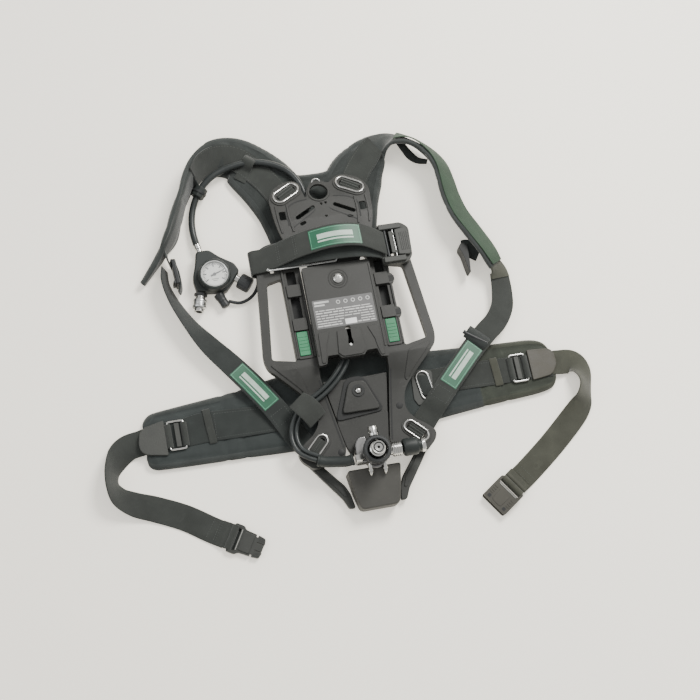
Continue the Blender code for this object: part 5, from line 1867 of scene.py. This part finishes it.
def waist_webbing():
    """The loose webbing from each end of the belt, and its sewn root."""
    for name, stations, cloth in (("left", WAIST_LEFT, WEBBING), ("right", WAIST_RIGHT, WEBBING_OLIVE)):
        line = strap_line(stations, 8)
        length = line[-1][5]
        tape = band(f"waist_strap_{name}", cloth, BELT, "webbing", line, 2.4, f"waist_webbing_{name}")
        paths = [[(length - d, -19), (length - d, 19)] for d in (14, 18, 30)]
        thread = stitches(f"waist_strap_{name}_thread", BELT, "webbing", line, paths, 1.25)
        root = strap_line(WAIST_ROOTS[name], 5)
        band(f"waist_strap_{name}_root", cloth, BELT, "webbing", root, 2.6)


def buckle_plane(centre, way):
    """Turns (along, across) millimetres in a buckle's own plane into x and y."""
    along = Vector(way).normalized()
    across = Vector((-along.y, along.x))
    return lambda u, v: tuple(Vector(centre) + along * u + across * v)


def laid(spot, outline, side=1):
    """An outline laid out in a buckle's own plane, mirrored across it if side is -1."""
    return [spot(u, side * v) for u, v in outline]


def buckle_fold(name, cloth, spot, rise):
    """The strap's end wrapped round a buckle's bar, in two ribs."""
    shape = [(-20, 2.6), (-12, 4.6), (-7, 6.6), (-4, 5), (-1, 8.4), (3, 9), (6, 6.4), (7.6, 2.2)]
    stations = [(*spot(u, 0), z + rise, 44, 0) for u, z in shape]
    side = Vector(spot(0, -1)) - Vector(spot(0, 0))
    band(name, cloth, BELT, "webbing", strap_line(stations, 5, across=(*side, 0)), 2)


def male_buckle():
    """The pronged half of the waist buckle."""
    spot = buckle_plane((-254, -208), (0.85, -0.52))
    body = (BELT, "black_plastic")
    fork = [
        (0, -25, 3), (16, -25, 4), (20, -20, 3), (40, -19, 1), (40, -15, 1), (43, -15, 1), (43, -19, 1),
        (56, -17, 3), (58, -7.4, 1), (44, -7.4, 0), (44, -6.2, 0), (57, -6.2, 1), (57, 6.2, 1),
        (44, 6.2, 0), (44, 7.4, 0), (58, 7.4, 1), (56, 17, 3), (43, 19, 1), (43, 15, 1), (40, 15, 1),
        (40, 19, 1), (20, 20, 3), (16, 25, 4), (0, 25, 3),
    ]
    outline = laid(spot, rounded(fork, 2, 3))
    eye = laid(spot, rounded(rectangle(8, -20, 12.5, 20), 1.5, 3))
    passing = laid(spot, rectangle(-12, -19.5, 14, 19.5))
    flat("male_buckle_webbing", WEBBING_DEEP, *body, passing, 1.6, 3.2)
    flat("male_buckle_fork", GREY_BLACK, *body, outline, 1, 9, [eye], 1.2, "male_buckle")
    deck = laid(spot, rounded(rectangle(18, -16.5, 38, 16.5), 2.5, 4))
    flat("male_buckle_deck", GREY_BLACK, *body, deck, 8.6, 10.4, (), 0.9)
    for side in (1, -1):
        for index in range(3):
            shift = index * 3.4
            rib = rounded(rectangle(46 + shift, side * 10, 47.6 + shift, side * 16), 0.5, 2)
            tag = f"{'high' if side > 0 else 'low'}_{index}"
            flat(f"male_buckle_rib_{tag}", GREY_BLACK, *body, laid(spot, rib), 8.8, 9.8, (), 0.3)
    # Painted highlight: a pale line along the bar's edge.
    edge = [(*spot(14.6, v), 9.2) for v in (-18, 0, 18)]
    tube("male_buckle_highlight", EDGE_HIGHLIGHT, *body, edge, 0.8, 4, 4)
    buckle_fold("male_buckle_fold", WEBBING, spot, 1.0)


def female_buckle():
    """Two plates and two side walls round the mouth, with ridges on the pressing faces."""
    spot = buckle_plane((236, -206), (-0.83, -0.56))
    body = (BELT, "black_plastic")
    outline = laid(spot, rounded(rectangle(0, -25.5, 50, 25.5), 5))
    eye = laid(spot, rounded(rectangle(5, -21, 12, 21), 1.5, 3))
    flat("female_buckle_top", OLIVE_BLACK, *body, outline, 11.9, 15, [eye], 1.2, "female_buckle")
    flat("female_buckle_base", OLIVE_BLACK, *body, outline, 0.6, 3.4, [eye], 0.8)
    rear = laid(spot, rounded(rectangle(12.5, -25, 18, 25), 1, 2))
    flat("female_buckle_rear", OLIVE_BLACK, *body, rear, 3, 12.4)
    for name, side in (("low", -1), ("high", 1)):
        wall = laid(spot, rounded(rectangle(14, 20.8, 47, 25.2), 1.5, 3), side)
        flat(f"female_buckle_wall_{name}", OLIVE_BLACK, *body, wall, 3, 12.4, (), 0.6)
        # Painted shade: a dark sheet in each pit.
        pit = laid(spot, rounded(rectangle(40, 14, 46, 20), 1.5, 3), side)
        flat(f"female_buckle_pit_shade_{name}", DARK_PLATE, *body, pit, 14.4, 15.15)
        for index in range(4):
            shift = index * 4.4
            rib = laid(spot, rounded(rectangle(22 + shift, 15, 24 + shift, 22), 0.7, 2), side)
            flat(f"female_buckle_rib_{name}_{index}", OLIVE_BLACK, *body, rib, 14.6, 15.6, (), 0.4)
    step = laid(spot, rounded([(20, -11, 2), (45, -10, 4), (45, 10, 4), (20, 11, 2)], 2, 4))
    flat("female_buckle_step", OLIVE_BLACK, *body, step, 14.6, 15.7, (), 0.7)
    # Painted highlight: a pale line along the bar's edge.
    edge = [(*spot(14.4, v), 15.2) for v in (-19, 0, 19)]
    tube("female_buckle_highlight", EDGE_HIGHLIGHT, *body, edge, 0.9, 4, 4)
    buckle_fold("female_buckle_fold", WEBBING_OLIVE, spot, 6.2)


# ---------------------------------------------------------------- scene


def repaint():
    """A better finish for the one CAD node that stays in view."""
    for material_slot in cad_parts["slide_pin"].material_slots:
        material_slot.material = STEEL


def camera():
    """The photograph's view of the object."""
    azimuth, elevation, roll = (math.radians(a) for a in (VIEW_AZIMUTH, VIEW_ELEVATION, VIEW_ROLL))
    reach = math.cos(elevation)
    back = Vector((math.sin(azimuth) * reach, -math.cos(azimuth) * reach, math.sin(elevation)))
    level_right = (-back).cross(Vector((0, 0, 1))).normalized()
    level_up = level_right.cross(-back)
    right = level_right * math.cos(roll) + level_up * math.sin(roll)
    up = level_up * math.cos(roll) - level_right * math.sin(roll)
    data = bpy.data.cameras.new("camera")
    data.lens = VIEW_LENS
    data.sensor_width = 36
    data.clip_start = 0.05
    made = bpy.data.objects.new("camera", data)
    turn = Matrix((right, up, back)).transposed().to_4x4()
    made.matrix_world = Matrix.Translation(Vector(VIEW_TARGET) * MM + back * VIEW_DISTANCE) @ turn
    bpy.context.scene.collection.objects.link(made)
    bpy.context.scene.camera = made


def stage():
    """A plain floor."""
    shape = bmesh.new()
    bmesh.ops.create_grid(shape, x_segments=1, y_segments=1, size=4000)
    ground = emit(shape, "floor", FLOOR)


def area_light(name, at, target, size, power, colour):
    """A round soft light aimed at a target."""
    data = bpy.data.lights.new(name, "AREA")
    data.shape = "DISK"
    data.size = size
    data.energy = power
    data.color = colour
    made = bpy.data.objects.new(name, data)
    made.location = at
    made.rotation_euler = (Vector(at) - Vector(target)).to_track_quat("Z", "Y").to_euler()
    bpy.context.scene.collection.objects.link(made)


def lighting():
    """An even pale world, with a warm key light and a weak cool fill."""
    world = bpy.data.worlds.new("studio")
    world.use_nodes = True
    background = world.node_tree.nodes["Background"]
    background.inputs["Color"].default_value = (1.0, 0.99, 0.97, 1)
    background.inputs["Strength"].default_value = WORLD_STRENGTH
    bpy.context.scene.world = world
    area_light("key", (1.3, 1.5, 2.3), (0, 0, 0), 1.3, KEY_POWER, (1.0, 0.985, 0.95))
    area_light("fill", (-1.8, 0.4, 2.0), (0, 0, 0), 1.6, FILL_POWER, (0.95, 0.98, 1.0))


def build():
    """Makes every piece, the gauge line first."""
    camera()
    stage()
    lighting()
    hose, path, length = gauge_hose()
    fittings = gauge() + line_coupler() + dust_cap() + [whistle()] + hose_clip()
    lower_frame()
    rail_details()
    limb_details()
    strap_rings()
    lumbar()
    yoke()
    back_cover()
    data_label()
    latches()
    guards()
    reducer_core()
    hand_wheel()
    reducer_plug()
    outlet_side()
    reducer_claws()
    lower_hoses()
    cylinder_strap()
    strap_buckle()
    hip_pad()
    belt_layers()
    waist_tabs()
    waist_adjusters()
    waist_webbing()
    male_buckle()
    female_buckle()
    shoulder_pads()
    hose_loop()
    pull_straps()
    shoulder_adjusters()
    repaint()


build()
